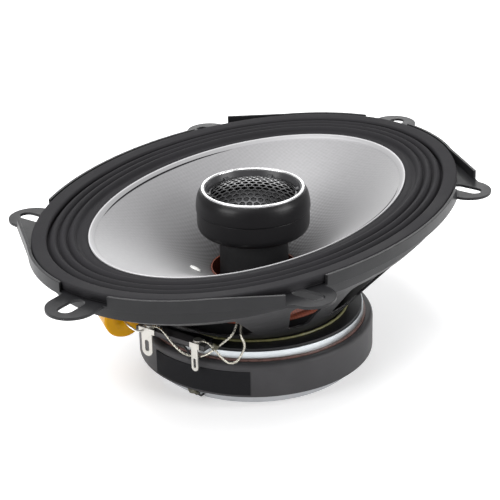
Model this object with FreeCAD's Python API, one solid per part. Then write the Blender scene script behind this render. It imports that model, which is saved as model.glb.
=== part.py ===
import FreeCAD, Part
import math
import os

# Oval two-way coaxial car loudspeaker, in millimetres.
# Origin: centre of the magnet's rear face.  +Z points out of the cone, +X runs along
# the long axis of the oval.  Every piece is a separate solid in parts/NODE.step.

os.makedirs("parts", exist_ok=True)
V = FreeCAD.Vector
UP = V(0, 0, 1)

# ---- driving sizes: overall -------------------------------------------------------
LIP_HALF_LENGTH = 98.4      # flange rim, half of the long axis
LIP_HALF_WIDTH = 69.1       # flange rim, half of the short axis
MOUNT_DEPTH = 61.6          # magnet rear face to the flange's rear face
FLANGE_T = 1.0
LIP_HEIGHT = 3.5            # turned-up rim above the flange
LIP_T = 1.0

# ---- magnet system ---------------------------------------------------------------
YOKE_INSET = 2.6            # yoke's edge inside the magnet's
YOKE_T = 6.0
MAGNET_RADIUS = 42.2
MAGNET_BORE = 22.0
MAGNET_T = 12.6
GLUE_T = 0.15
TOP_PLATE_RADIUS = 41.3
TOP_PLATE_T = 2.7
POLE_GAP = 0.4              # pole to former
BOOT_RADIUS = 45.0
BOOT_BOTTOM = 5.0           # boot's lower edge above the rear face
BOOT_TOP_GAP = 0.6          # boot's top below the magnet's top
BOOT_FIT = 0.05
BOOT_ROUND = 1.6
LABEL_T = 0.25
LABEL_HEIGHT = 9.4
LABEL_ANGLES = (160.5, 212.5)

# ---- voice coil --------------------------------------------------------------------
FORMER_BORE = 16.0
FORMER_T = 0.4
WINDING_T = 0.8
WINDING_LENGTH = 10.0
COIL_GAP = 0.5              # winding to top plate
FORMER_BELOW = 3.0          # former below the winding

# ---- basket --------------------------------------------------------------------------
BASKET_T = 1.0
BASKET_FOOT_RADIUS = 33.6   # where the sloping wall leaves the base
BASE_MARGIN = 0.5           # top plate's edge beyond the basket's base
WALL_T = 1.2                # wall, measured level
SHOULDER_INSET = 5.4        # shoulder inside the rim
SHOULDER_TAPER = 0.7
SHOULDER_HEIGHT = 6.6       # crease below the flange's rear face
BEAD_RADIUS = 0.45
BEAD_ROOM = 0.9935          # height of the wall's foot line over the bead's centre
WINDOW_SILL = 8.3           # window's lower edge above the base
WINDOW_HEAD = 3.0           # window's upper edge below the crease
WINDOW_ROUND = 2.0
END_WINDOW_HALF = 40.2      # degrees each side of the long axis
SIDE_WINDOW = ((55.5, 65.0), (55.5, 67.7))      # start and end, at the sill and the head
MIDDLE_WINDOW = ((77.0, 103.0), (74.3, 105.7))

# ---- ears -------------------------------------------------------------------------------
EAR_RADIUS = 8.8
SLOT_RADIUS = 2.8
CORNER_EAR_SHARE = 0.55285  # ear's round end, its centre's share of the rim's half length
CORNER_EAR_IN = 8.1         # and its distance inside the rim's half width
CORNER_SLOT_LENGTH = 12.0
END_EAR_OUT = 4.8           # round end's centre outside the rim's half length
END_SLOT_LENGTH = 10.8
EAR_MARGIN = 3.4            # metal between the slot's end and the ear's tip
LIP_GAP_HALF = 10.2
WEB_START = 35.0            # degrees on the rim where the ear's web leaves the oval

# ---- gasket, surround, cone, spider ---------------------------------------------------
GASKET_WIDTH = 5.8
GASKET_GAP = 0.5
GASKET_T = 2.7
SURROUND_T = 0.8
SURROUND_ROLLS = 3
ROLL_START = 8.0            # inward from the rim
ROLL_WIDTH = 3.55
ROLL_HEIGHT = 1.7
ROLL_BASE = 1.3             # rolls' feet above the surround's flat rim
CONE_INSETS = (22.9, 20.8)  # cone's edge inside the rim, along and across
CONE_EDGE_BELOW = 1.7       # cone's edge below the gasket's top
CONE_EDGE_BAND = 2.2
CONE_DEPTH = 28.0
CONE_T = 0.6
CONE_SWELL = 1.8            # how far the cone bows above a straight side
SPIDER_T = 0.5
SPIDER_WAVES = 4
SPIDER_WAVE = 0.9
SPIDER_HEIGHT = 5.4         # spider's seat above the basket's base
SPIDER_SEAT_WIDTH = 2.6
SPIDER_WALL_GAP = 0.4

# ---- tweeter ---------------------------------------------------------------------------
POST_RADIUS = 13.0
SCREW_RADIUS = 2.0
SCREW_HEAD_RADIUS = 3.8
SCREW_HEAD_T = 2.6
SCREW_DEPTH = 12.0          # thread inside the post
HOUSING_RADIUS = 21.2
HOUSING_BOTTOM = 52.0
HOUSING_T = 1.6
HOUSING_ROUND = 5.0
HOUSING_HEIGHT = 9.0
SHELL_RADIUS = 21.45
SHELL_TOP_RADIUS = 19.9
SHELL_HEIGHT = 7.4
TRIM_RADIUS = 19.3
TRIM_WIDTH = 1.1
TRIM_T = 0.9
BEZEL_RADIUS = 16.7
GRILLE_DOME = 4.4
GRILLE_T = 0.6
DOME_RADIUS = 12.5
DOME_HEIGHT = 3.4
DOME_T = 0.3
TWEETER_GAP = 0.4

# ---- terminals and crossover ---------------------------------------------------------
BOARD_X = 47.4              # outer edge of the board, towards -X
BOARD_Z = 24.4
BOARD_T = 1.6
BOARD_DEPTH = 4.4            # board, from its outer edge towards the wall
BOARD_WALL_GAP = 2.4
BLADE_T = 0.5
BLADE_DROP = 10.8
POSITIVE_Y = 15.0
NEGATIVE_Y = -6.8
POSITIVE_WIDTH = 4.8
NEGATIVE_WIDTH = 2.8
RIVET_RADIUS = 0.9
CAPACITOR_RADIUS = 7.2
CAPACITOR_LENGTH = 22.0
CAPACITOR_FACE = (-48.2, 25.2, 27.2)
CAPACITOR_TURN = 235.0      # degrees about Z of the way its end face looks
GLUE_PAD = (9.0, 5.0)       # length along the capacitor, width
GLUE_LEAN = 37.0            # degrees the pad leans from upright, towards the basket
BRAID_RADIUS = 0.45         # braided leads
WIRE_RADIUS = 0.4           # capacitor wires and tweeter leads
WIRE_BEND = 1.3
CHANNEL_GAP = 0.15          # clearance round the tweeter leads in their channels
PAD_RADIUS = 2.0            # adhesive where a braided lead meets the cone
PAD_SHARE = 0.82            # how far down the cone the pads sit, edge to neck
PAD_ANGLES = (157.5, 202.5)
BLOB_RADIUS = 2.1

# ---- routes of the leads --------------------------------------------------------------
WIRE_LEVEL = 0.75           # tweeter leads in the yoke's rear grooves
WIRE_BORE_X = -8.5
WIRE_BOOT_X = -44.3         # where they climb the boot, under the tape
WIRE_YS = (-3.7, -1.9)
POSITIVE_ROUTE = [
    (-45.6, 13.38, 26.95), (-46.4, 9.8, 27.7), (-48.4, 5.6, 27.1), (-49.0, 1.6, 23.8),
    (-48.0, -2.4, 20.7), (-46.2, -6.8, 20.2), (-46.2, -11.2, 22.4), (-45.6, -15.0, 26.0),
    (-44.9, -18.4, 29.2), (-44.0, -21.6, 32.4), (-41.0, -20.6, 33.9)]
NEGATIVE_ROUTE = [
    (-45.6, -8.42, 26.95), (-46.2, -11.6, 27.9), (-47.5, -14.8, 27.2), (-46.0, -17.2, 23.2),
    (-44.2, -19.2, 20.2), (-42.4, -21.6, 20.6), (-41.6, -23.4, 24.2), (-41.8, -25.2, 28.2),
    (-42.6, -23.6, 32.4), (-39.7, -21.9, 33.5)]
POSITIVE_INNER = [(-35.2, -15.6, 36.8), (-31.0, -5.4, 37.2), (-27.4, 6.4, 36.6)]
NEGATIVE_INNER = [(-33.0, -17.4, 36.6), (-27.8, -13.6, 38.2)]
FRONT_WIRE = [(-50.0, 22.6, 27.3), (-50.8, 19.4, 26.5), (-49.9, 16.6, 25.3), (-47.91, 16.6, 25.3)]
REAR_WIRE = [
    (-33.6, 46.1, 27.2), (-31.2, 46.4, 24.2), (-30.6, 40.6, 21.5), (-34.4, 34.4, 21.3),
    (-37.2, 28.3, 22.2), (-38.9, 23.4, 22.1)]
WIRE_TO_BLADE = [(-44.4, -4.6, 21.7), (-45.5, -6.6, 22.2), (-47.39, -6.6, 22.2)]
WIRE_TO_CAPACITOR = [
    (-44.2, 0.6, 21.6), (-43.6, 6.6, 21.0), (-42.4, 12.6, 21.2), (-40.6, 18.5, 22.0),
    (-38.9, 23.4, 22.1)]

# ---- levels and radii that follow ------------------------------------------------------
YOKE_RADIUS = MAGNET_RADIUS - YOKE_INSET
POLE_RADIUS = FORMER_BORE - POLE_GAP
CONE_HALF_LENGTH = LIP_HALF_LENGTH - CONE_INSETS[0]
CONE_HALF_WIDTH = LIP_HALF_WIDTH - CONE_INSETS[1]
MAGNET_Z = YOKE_T + GLUE_T
MAGNET_TOP = MAGNET_Z + MAGNET_T
TOP_PLATE_Z = MAGNET_TOP + GLUE_T
BASE_Z = TOP_PLATE_Z + TOP_PLATE_T
FLOOR_Z = BASE_Z + BASKET_T
FLANGE_Z = MOUNT_DEPTH
SEAT_Z = FLANGE_Z + FLANGE_T
LIP_Z = SEAT_Z + LIP_HEIGHT
CREASE_Z = FLANGE_Z - SHOULDER_HEIGHT
SILL_Z = FLOOR_Z + WINDOW_SILL
HEAD_Z = CREASE_Z - WINDOW_HEAD
FORMER_RADIUS = FORMER_BORE + FORMER_T
WINDING_RADIUS = FORMER_RADIUS + WINDING_T
TOP_PLATE_BORE = WINDING_RADIUS + COIL_GAP
BASE_BORE = TOP_PLATE_BORE + 0.9
BASE_RADIUS = TOP_PLATE_RADIUS - BASE_MARGIN
POLE_TOP = BASE_Z
GASKET_Z = SEAT_Z + SURROUND_T
GASKET_TOP = GASKET_Z + GASKET_T
CONE_EDGE_Z = GASKET_TOP - CONE_EDGE_BELOW
NECK_Z = CONE_EDGE_Z - CONE_DEPTH
WINDING_Z = TOP_PLATE_Z + TOP_PLATE_T / 2 - WINDING_LENGTH / 2
FORMER_Z = WINDING_Z - FORMER_BELOW
FORMER_TOP = NECK_Z + CONE_T
SPIDER_Z = FLOOR_Z + SPIDER_HEIGHT
SPIDER_RADIUS = BASKET_FOOT_RADIUS - WALL_T - SPIDER_WALL_GAP
SHOULDER = (LIP_HALF_LENGTH - SHOULDER_INSET, LIP_HALF_WIDTH - SHOULDER_INSET + 0.4)
CREASE = (SHOULDER[0] - SHOULDER_TAPER, SHOULDER[1] - SHOULDER_TAPER)
CORNER_EAR = (LIP_HALF_LENGTH * CORNER_EAR_SHARE, LIP_HALF_WIDTH - CORNER_EAR_IN)
WALL_SLOPE = (CREASE_Z - FLOOR_Z) / (CREASE[0] - BASKET_FOOT_RADIUS)
BEAD_RING = BASKET_FOOT_RADIUS + BEAD_ROOM / WALL_SLOPE
WIDTH_RATE = (LIP_HALF_WIDTH - CONE_HALF_WIDTH) / (LIP_HALF_LENGTH - CONE_HALF_LENGTH)
HOUSING_SEAM = HOUSING_BOTTOM + HOUSING_HEIGHT
SHELL_TOP = HOUSING_SEAM + SHELL_HEIGHT
BOOT_TOP = MAGNET_TOP - BOOT_TOP_GAP


# ---- shape helpers -----------------------------------------------------------------------
def oval_edge(half_length, half_width, z):
    """Closed oval edge; a circle where both halves are equal."""
    centre = V(0, 0, z)
    if abs(half_length - half_width) < 1e-6:
        return Part.Circle(centre, UP, half_length).toShape()
    return Part.Ellipse(centre, half_length, half_width).toShape()


def ring(profile):
    """Closed ring whose cross-section is a polygon of (half length, half width, z)."""
    edges = [oval_edge(*p) for p in profile]
    faces = []
    for first, second in zip(edges, edges[1:] + edges[:1]):
        faces.append(Part.makeRuledSurface(first, second))
    shell = Part.Shell(faces)
    shell.sewShape()
    solid = Part.Solid(Part.Shell(shell.Faces))
    solid.fix(1e-4, 1e-4, 1e-4)
    if solid.Volume < 0:
        solid.reverse()
    return solid


def round_ring(profile):
    """Turned piece: a closed polygon of (radius, z) swept round the Z axis."""
    points = [V(r, 0, z) for r, z in profile]
    face = Part.Face(Part.makePolygon(points + points[:1]))
    return face.revolve(V(0, 0, 0), UP, 360)


def disc(radius, z, height, x=0.0, y=0.0):
    return Part.makeCylinder(radius, height, V(x, y, z))


def tube(outer, inner, z, height):
    return disc(outer, z, height).cut(disc(inner, z, height))


def block(x, y, z):
    """Box between pairs of coordinates."""
    return Part.makeBox(x[1] - x[0], y[1] - y[0], z[1] - z[0], V(x[0], y[0], z[0]))


def inward(distance, z):
    """Oval that distance inside the rim, shrinking evenly towards the cone's outline."""
    return (LIP_HALF_LENGTH - distance, LIP_HALF_WIDTH - distance * WIDTH_RATE, z)


def slot(x, y, length, angle, z, height):
    """Straight slot with round ends, centred on x, y and turned by angle degrees."""
    half = length / 2 - SLOT_RADIUS
    shape = block((-half, half), (-SLOT_RADIUS, SLOT_RADIUS), (z, z + height))
    for end in (-half, half):
        shape = shape.fuse(disc(SLOT_RADIUS, z, height, end, 0))
    shape = shape.removeSplitter()
    shape.rotate(V(0, 0, 0), UP, angle)
    shape.translate(V(x, y, 0))
    return shape


def route(points, radius, least=None):
    """Round lead: straight runs joined by the largest arcs that the runs allow, or by
    arcs of one given radius where the lead lies in a channel."""
    points = [V(*p) for p in points]
    edges = []
    radii = []
    start = points[0]
    for before, corner, after in zip(points, points[1:], points[2:]):
        way_in = corner - before
        way_out = after - corner
        turn = way_in.getAngle(way_out)
        setback = 0.45 * min(way_in.Length, way_out.Length)
        bend = setback / math.tan(turn / 2)
        if least and least < bend:
            bend = least
            setback = bend * math.tan(turn / 2)
        way_in.normalize()
        way_out.normalize()
        first = corner - way_in * setback
        last = corner + way_out * setback
        to_centre = (way_out - way_in).normalize()
        middle = corner + to_centre * (bend / math.cos(turn / 2) - bend)
        edges.append(Part.LineSegment(start, first).toShape())
        edges.append(Part.Arc(first, middle, last).toShape())
        radii.append(round(bend, 2))
        start = last
    edges.append(Part.LineSegment(start, points[-1]).toShape())
    path = Part.Wire(edges)
    section = Part.Wire(Part.Circle(points[0], points[1] - points[0], radius).toShape())
    lead = path.makePipeShell([section], True, True)
    ratio = lead.Volume / (math.pi * radius ** 2 * path.Length)
    print("lead radii", radii, "volume ratio", round(ratio, 4))
    return lead


def save(name, shape):
    shape.exportStep("parts/" + name + ".step")
    solids = len(shape.Solids)
    print(name, "solids", solids, "valid", shape.isValid(), "volume", round(shape.Volume, 1))


# ---- magnet system ---------------------------------------------------------------------
def yoke():
    """Rear plate and centre pole in one, bored for the post's screw and the leads."""
    shape = disc(YOKE_RADIUS, 0, YOKE_T).fuse(disc(POLE_RADIUS, 0, POLE_TOP)).removeSplitter()
    shape = shape.cut(disc(SCREW_RADIUS + 0.3, 0, POLE_TOP))
    return shape.cut(disc(SCREW_HEAD_RADIUS + 0.4, 0, SCREW_HEAD_T + 0.6))


def boot():
    """Soft cover round the magnet, rounded at its top edge."""
    inner = MAGNET_RADIUS + BOOT_FIT
    shape = tube(BOOT_RADIUS, inner, BOOT_BOTTOM, BOOT_TOP - BOOT_BOTTOM)
    rims = [e for e in shape.Edges if abs(e.Length - 2 * math.pi * BOOT_RADIUS) < 0.01]
    return shape.makeFillet(BOOT_ROUND, [max(rims, key=lambda e: e.CenterOfMass.z)])


def label():
    """Plain blank tape stuck on the boot."""
    start, end = LABEL_ANGLES
    z = BOOT_BOTTOM + 0.9
    shape = tube(BOOT_RADIUS + LABEL_T, BOOT_RADIUS, z, LABEL_HEIGHT)
    section = Part.makeCylinder(BOOT_RADIUS + 5, LABEL_HEIGHT, V(0, 0, z), UP, end - start)
    section.rotate(V(0, 0, 0), UP, start)
    return shape.common(section)


# ---- basket --------------------------------------------------------------------------------
def wall_oval(z):
    """Half length and half width of the sloping wall's outside at a level."""
    t = (z - FLOOR_Z) / (CREASE_Z - FLOOR_Z)
    half_length = BASKET_FOOT_RADIUS + t * (CREASE[0] - BASKET_FOOT_RADIUS)
    half_width = BASKET_FOOT_RADIUS + t * (CREASE[1] - BASKET_FOOT_RADIUS)
    return half_length, half_width


def window_wire(z, start, end):
    """Outline of a window's cutter at one level, between two angles in degrees."""
    half_length, half_width = wall_oval(z)

    def point(angle, offset):
        a = math.radians(angle)
        outward = V(half_width * math.cos(a), half_length * math.sin(a), 0).normalize()
        return V(half_length * math.cos(a), half_width * math.sin(a), z) + outward * offset

    middle = (start + end) / 2
    outer = Part.Arc(point(start, 6), point(middle, 6), point(end, 6)).toShape()
    inner = Part.Arc(point(end, -7), point(middle, -7), point(start, -7)).toShape()
    side = Part.LineSegment(point(end, 6), point(end, -7)).toShape()
    other = Part.LineSegment(point(start, -7), point(start, 6)).toShape()
    return Part.Wire([outer, side, inner, other])


def window(sill, head):
    cutter = Part.makeLoft([window_wire(SILL_Z, *sill), window_wire(HEAD_Z, *head)], True, True)
    corners = []
    for edge in cutter.Edges:
        ends = [v.Point for v in edge.Vertexes]
        if abs(ends[0].z - ends[1].z) < 1e-6 and abs(edge.Length - 13) < 0.05:
            corners.append(edge)
    return cutter.makeFillet(WINDOW_ROUND, corners)


def windows():
    cutters = []
    end = ((-END_WINDOW_HALF, END_WINDOW_HALF),) * 2
    mirrored = tuple((180 - b, 180 - a) for a, b in SIDE_WINDOW)
    for turn in (0, 180):
        for sill, head in (end, SIDE_WINDOW, MIDDLE_WINDOW, mirrored):
            cutters.append(window((sill[0] + turn, sill[1] + turn), (head[0] + turn, head[1] + turn)))
    return cutters


def rim_point(angle, inset=0.0):
    a = math.radians(angle)
    return ((LIP_HALF_LENGTH - inset) * math.cos(a), (LIP_HALF_WIDTH - inset) * math.sin(a))


def prism(points, z, height):
    """Straight-sided plate from a list of x, y corners."""
    corners = [V(x, y, z) for x, y in points]
    return Part.Face(Part.makePolygon(corners + corners[:1])).extrude(V(0, 0, height))


def mirrored_four(shape):
    """The shape in all four quarters."""
    across = shape.mirror(V(0, 0, 0), V(1, 0, 0))
    pair = [shape, across]
    return pair + [s.mirror(V(0, 0, 0), V(0, 1, 0)) for s in pair]


def corner_ear():
    """Ear in the +X +Y quarter, with the web that joins it to the rim."""
    x, y = CORNER_EAR
    web = rim_point(WEB_START)
    ear = disc(EAR_RADIUS, FLANGE_Z, FLANGE_T, x, y)
    inner = (x - EAR_RADIUS, y - 14)
    outline = [(x - EAR_RADIUS, y), inner, rim_point(WEB_START, 4), web, (x + EAR_RADIUS, y)]
    return ear.fuse(prism(outline, FLANGE_Z, FLANGE_T))


def lip_wing():
    """Straight stretch of the turned-up rim beside a corner ear."""
    x, y = CORNER_EAR
    start = V(*rim_point(WEB_START), 0)
    end = V(x + EAR_RADIUS, y, 0)
    along = (end - start).normalize()
    end = start + along * ((end - start).Length - 3.0)
    start = start - along * 1.5
    inside = V(along.y, -along.x, 0)
    if inside.dot(start) > 0:
        inside = inside * -1
    corners = [start, end, end + inside * LIP_T, start + inside * LIP_T]
    return prism([(p.x, p.y) for p in corners], FLANGE_Z, FLANGE_T + LIP_HEIGHT)


def lip():
    """Turned-up rim, open where the ears run out."""
    shape = ring([
        (LIP_HALF_LENGTH, LIP_HALF_WIDTH, FLANGE_Z),
        (LIP_HALF_LENGTH, LIP_HALF_WIDTH, LIP_Z),
        (LIP_HALF_LENGTH - LIP_T, LIP_HALF_WIDTH - LIP_T, LIP_Z),
        (LIP_HALF_LENGTH - LIP_T, LIP_HALF_WIDTH - LIP_T, FLANGE_Z),
    ])
    x, y = CORNER_EAR
    reach = LIP_HALF_LENGTH * 2
    gap_end = rim_point(WEB_START)[0] - 0.5
    for sx in (1, -1):
        for sy in (1, -1):
            xs = sorted((sx * (x - EAR_RADIUS - 1), sx * gap_end))
            ys = sorted((sy * 20, sy * reach))
            shape = shape.cut(block(xs, ys, (SEAT_Z, LIP_Z + 1)))
    gap = (-LIP_GAP_HALF, LIP_GAP_HALF)
    shape = shape.cut(block((-reach, reach), gap, (SEAT_Z, LIP_Z + 1)))
    return shape


def flange():
    """Flat flange with its six slotted ears, before the walls are joined on."""
    plate = Part.Face(Part.Wire(oval_edge(LIP_HALF_LENGTH - LIP_T / 2, LIP_HALF_WIDTH - LIP_T / 2, FLANGE_Z)))
    shape = plate.extrude(V(0, 0, FLANGE_T))
    pieces = mirrored_four(corner_ear())
    centre = LIP_HALF_LENGTH + END_EAR_OUT
    for side in (1, -1):
        pieces.append(disc(EAR_RADIUS, FLANGE_Z, FLANGE_T, side * centre, 0))
        xs = sorted((side * (centre - 16), side * centre))
        pieces.append(block(xs, (-EAR_RADIUS, EAR_RADIUS), (FLANGE_Z, SEAT_Z)))
    shape = shape.multiFuse(pieces)
    hole = Part.Face(Part.Wire(oval_edge(SHOULDER[0] - WALL_T / 2, SHOULDER[1] - WALL_T / 2, FLANGE_Z)))
    return shape.cut(hole.extrude(V(0, 0, FLANGE_T)))


def ear_slots():
    cutters = []
    y = CORNER_EAR[1] + EAR_RADIUS - EAR_MARGIN - CORNER_SLOT_LENGTH / 2
    for sx in (1, -1):
        for sy in (1, -1):
            cutters.append(slot(sx * CORNER_EAR[0], sy * y, CORNER_SLOT_LENGTH, 90, FLANGE_Z - 1, 3))
    x = LIP_HALF_LENGTH + END_EAR_OUT + EAR_RADIUS - EAR_MARGIN - END_SLOT_LENGTH / 2
    for sx in (1, -1):
        cutters.append(slot(sx * x, 0, END_SLOT_LENGTH, 0, FLANGE_Z - 1, 3))
    print("corner slot centre y", round(y, 3), "end slot centre x", round(x, 3))
    return cutters


def basket():
    """Stamped basket: base, sloping wall with windows, shoulder, flange, rim and ears."""
    foot = BASKET_FOOT_RADIUS
    body = ring([
        (BASE_BORE, BASE_BORE, BASE_Z),
        (BASE_RADIUS, BASE_RADIUS, BASE_Z),
        (BASE_RADIUS, BASE_RADIUS, FLOOR_Z),
        (foot, foot, FLOOR_Z),
        (CREASE[0], CREASE[1], CREASE_Z),
        (SHOULDER[0], SHOULDER[1], FLANGE_Z),
        (SHOULDER[0], SHOULDER[1], SEAT_Z),
        (SHOULDER[0] - WALL_T, SHOULDER[1] - WALL_T, SEAT_Z),
        (SHOULDER[0] - WALL_T, SHOULDER[1] - WALL_T, FLANGE_Z),
        (CREASE[0] - WALL_T, CREASE[1] - WALL_T, CREASE_Z),
        (foot - WALL_T, foot - WALL_T, FLOOR_Z),
        (BASE_BORE, BASE_BORE, FLOOR_Z),
    ])
    body = body.cut(windows())
    wings = mirrored_four(lip_wing())
    shape = body.multiFuse([flange(), lip()] + wings)
    return shape.cut(ear_slots())


def gasket():
    outer = LIP_T + GASKET_GAP
    return ring([
        inward(outer, GASKET_Z),
        inward(outer, GASKET_TOP),
        inward(outer + GASKET_WIDTH, GASKET_TOP),
        inward(outer + GASKET_WIDTH, GASKET_Z),
    ])


# ---- moving diaphragm -----------------------------------------------------------------------
def surround():
    """Rubber edge: flat rim under the gasket, three rolls, then a land under the cone."""
    rim = LIP_T + GASKET_GAP + 0.3
    foot = GASKET_Z + ROLL_BASE - SURROUND_T
    top = [(rim, GASKET_Z), (ROLL_START - 0.6, GASKET_Z)]
    steps = 6
    for i in range(SURROUND_ROLLS * steps + 1):
        phase = math.pi * i / steps
        height = abs(math.sin(phase)) ** 0.8 * ROLL_HEIGHT
        top.append((ROLL_START + ROLL_WIDTH * i / steps, foot + SURROUND_T + height))
    land = LIP_HALF_LENGTH - CONE_HALF_LENGTH
    under = CONE_EDGE_Z - CONE_T
    slope = CONE_EDGE_BAND * CONE_DEPTH / (CONE_HALF_LENGTH - FORMER_RADIUS)
    top.append((land, under))
    top.append((land + CONE_EDGE_BAND, under - slope))
    outline = [inward(k, z) for k, z in top]
    outline += [inward(k, z - SURROUND_T) for k, z in reversed(top)]
    return ring(outline)


def cone_line():
    """Cone's upper face from edge to neck as (half length, half width, z)."""
    steps = 8
    line = []
    for i in range(steps + 1):
        s = i / steps
        a = CONE_HALF_LENGTH + s * (FORMER_RADIUS - CONE_HALF_LENGTH)
        b = CONE_HALF_WIDTH + s * (FORMER_RADIUS - CONE_HALF_WIDTH)
        line.append((a, b, CONE_EDGE_Z - CONE_DEPTH * s + 4 * CONE_SWELL * s * (1 - s)))
    return line


def cone():
    top = cone_line()
    return ring(top + [(a, b, z - CONE_T) for a, b, z in reversed(top)])


def spider():
    """Corrugated disc from the former to its seat."""
    inner = FORMER_RADIUS
    outer = SPIDER_RADIUS
    seat = outer - SPIDER_SEAT_WIDTH
    steps = 6
    top = [(inner, SPIDER_Z + SPIDER_T), (inner + 1.2, SPIDER_Z + SPIDER_T)]
    span = seat - 0.6 - inner - 1.2
    count = SPIDER_WAVES * steps
    for i in range(1, count):
        lift = math.sin(2 * math.pi * SPIDER_WAVES * i / count) * SPIDER_WAVE
        top.append((inner + 1.2 + span * i / count, SPIDER_Z + SPIDER_T + lift))
    top.append((seat - 0.6, SPIDER_Z + SPIDER_T))
    top.append((outer, SPIDER_Z + SPIDER_T))
    return round_ring(top + [(r, z - SPIDER_T) for r, z in reversed(top)])


# ---- tweeter ------------------------------------------------------------------------------------
def post():
    """Pedestal that stands on the pole and carries the tweeter."""
    shape = disc(POST_RADIUS, POLE_TOP, HOUSING_BOTTOM - POLE_TOP)
    shape = shape.cut(disc(SCREW_RADIUS, POLE_TOP, SCREW_DEPTH + 1))
    return shape


def rear_screw():
    """Socket-head screw from the yoke's rear into the post."""
    head = disc(SCREW_HEAD_RADIUS, 0.4, SCREW_HEAD_T)
    shank = disc(SCREW_RADIUS, 0.4 + SCREW_HEAD_T, POLE_TOP + SCREW_DEPTH - 0.4 - SCREW_HEAD_T)
    key = prism([(1.7 * math.cos(math.radians(a)), 1.7 * math.sin(math.radians(a)))
                 for a in range(0, 360, 60)], 0.4, 1.6)
    return head.fuse(shank).cut(key).removeSplitter()


def housing():
    """Lower cup of the tweeter."""
    r = HOUSING_RADIUS
    z = HOUSING_BOTTOM
    outer = disc(r, z, HOUSING_HEIGHT)
    rims = [e for e in outer.Edges if abs(e.CenterOfMass.z - z) < 1e-6]
    outer = outer.makeFillet(HOUSING_ROUND, rims)
    inner = disc(r - HOUSING_T, z + HOUSING_T, HOUSING_HEIGHT)
    rims = [e for e in inner.Edges if abs(e.CenterOfMass.z - z - HOUSING_T) < 1e-6]
    inner = inner.makeFillet(HOUSING_ROUND - HOUSING_T, rims)
    return outer.cut(inner)


def shell():
    """Upper shell of the tweeter, drawn in towards the trim ring."""
    wall = HOUSING_RADIUS - HOUSING_T
    return round_ring([
        (wall - 0.8, HOUSING_SEAM),
        (SHELL_RADIUS, HOUSING_SEAM),
        (SHELL_RADIUS - 0.1, HOUSING_SEAM + SHELL_HEIGHT * 0.35),
        (SHELL_RADIUS - 0.55, HOUSING_SEAM + SHELL_HEIGHT * 0.7),
        (SHELL_TOP_RADIUS, SHELL_TOP),
        (TRIM_RADIUS, SHELL_TOP),
        (TRIM_RADIUS, SHELL_TOP - 1.2),
        (wall - 0.8, SHELL_TOP - 1.2),
    ])


def trim_ring():
    """Bright ring round the mouth."""
    inner = TRIM_RADIUS - TRIM_WIDTH
    shape = tube(TRIM_RADIUS, inner, SHELL_TOP - 1.2, TRIM_T + 1.2)
    return shape


def bezel():
    """Sloping inner ring that holds the grille."""
    top = TRIM_RADIUS - TRIM_WIDTH
    ledge = SHELL_TOP - 2.0
    return round_ring([
        (BEZEL_RADIUS - 0.8, ledge - 1.6),
        (top, ledge - 1.6),
        (top, SHELL_TOP + 0.3),
        (top - 0.4, SHELL_TOP + 0.3),
        (BEZEL_RADIUS, ledge),
        (BEZEL_RADIUS - 0.8, ledge),
    ])


def domed(radius, height, thickness, z):
    """Thin spherical cap standing on z."""
    big = (radius ** 2 + height ** 2) / (2 * height)
    centre = z + height - big
    cap = Part.makeSphere(big, V(0, 0, centre))
    cap = cap.cut(Part.makeSphere(big - thickness, V(0, 0, centre)))
    return cap.common(disc(radius + 1, z, height + 1))


def grille():
    return domed(BEZEL_RADIUS, GRILLE_DOME, GRILLE_T, SHELL_TOP - 2.0)


def tweeter_parts():
    """Magnet, yoke, coil, dome and frame inside the housing."""
    floor = HOUSING_BOTTOM + HOUSING_T
    coil_bore = DOME_RADIUS - 0.2
    coil_outer = DOME_RADIUS + 0.4
    yoke_bore = coil_outer + TWEETER_GAP
    cap_radius = coil_bore - TWEETER_GAP
    yoke_outer = yoke_bore + 2.6
    yoke_floor = floor + 1.8
    magnet_top = yoke_floor + 2.6
    cap_top = magnet_top + 1.8
    frame_z = cap_top
    dome_z = frame_z + 1.2
    cup = tube(yoke_outer, yoke_bore, floor, cap_top - floor).fuse(disc(yoke_outer, floor, 1.8))
    save("tweeter_yoke", cup.removeSplitter())
    save("tweeter_magnet", disc(cap_radius - 0.6, yoke_floor, magnet_top - yoke_floor))
    save("tweeter_pole_cap", disc(cap_radius, magnet_top, cap_top - magnet_top))
    coil = tube(coil_outer, coil_bore, magnet_top - 0.4, dome_z + 0.3 - magnet_top + 0.4)
    save("tweeter_voice_coil", coil)
    frame_inner = DOME_RADIUS + 2.8
    save("tweeter_frame", tube(HOUSING_RADIUS - HOUSING_T - 0.2, frame_inner - 1.0, frame_z, 1.0))
    save("tweeter_dome", domed(DOME_RADIUS + 0.4, DOME_HEIGHT, DOME_T, dome_z + 0.3))
    inner = DOME_RADIUS + 0.7
    outer = frame_inner + 0.8
    crest = (inner + outer) / 2
    line = [(inner, frame_z + 1.0), (inner + 0.5, frame_z + 1.6), (crest, frame_z + 2.0),
            (outer - 0.5, frame_z + 1.6), (outer, frame_z + 1.0)]
    save("tweeter_surround", round_ring(line + [(r, z + 0.3) for r, z in reversed(line)]))


# ---- terminals and crossover ---------------------------------------------------------------
def bracket():
    """Steel tab, welded to the basket's base, that carries the terminal board."""
    low = NEGATIVE_Y - 3.6
    high = POSITIVE_Y + 4.6
    top = BOARD_Z
    foot_x = (-BASE_RADIUS + 0.4, -BASKET_FOOT_RADIUS - BOARD_WALL_GAP)
    foot = block(foot_x, (low + 4, high - 8), (FLOOR_Z, FLOOR_Z + 0.8))
    riser = block((-BASE_RADIUS - 0.4, -BASE_RADIUS + 0.4), (low + 4, high - 8), (FLOOR_Z, top))
    shelf = block((-BOARD_X + 0.6, -BASE_RADIUS + 0.4), (low, high), (top - 0.8, top))
    return foot.fuse(riser).fuse(shelf).removeSplitter()


def rivet_places():
    x = -BOARD_X + 1.8
    return ((x, POSITIVE_Y), (x, NEGATIVE_Y))


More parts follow.
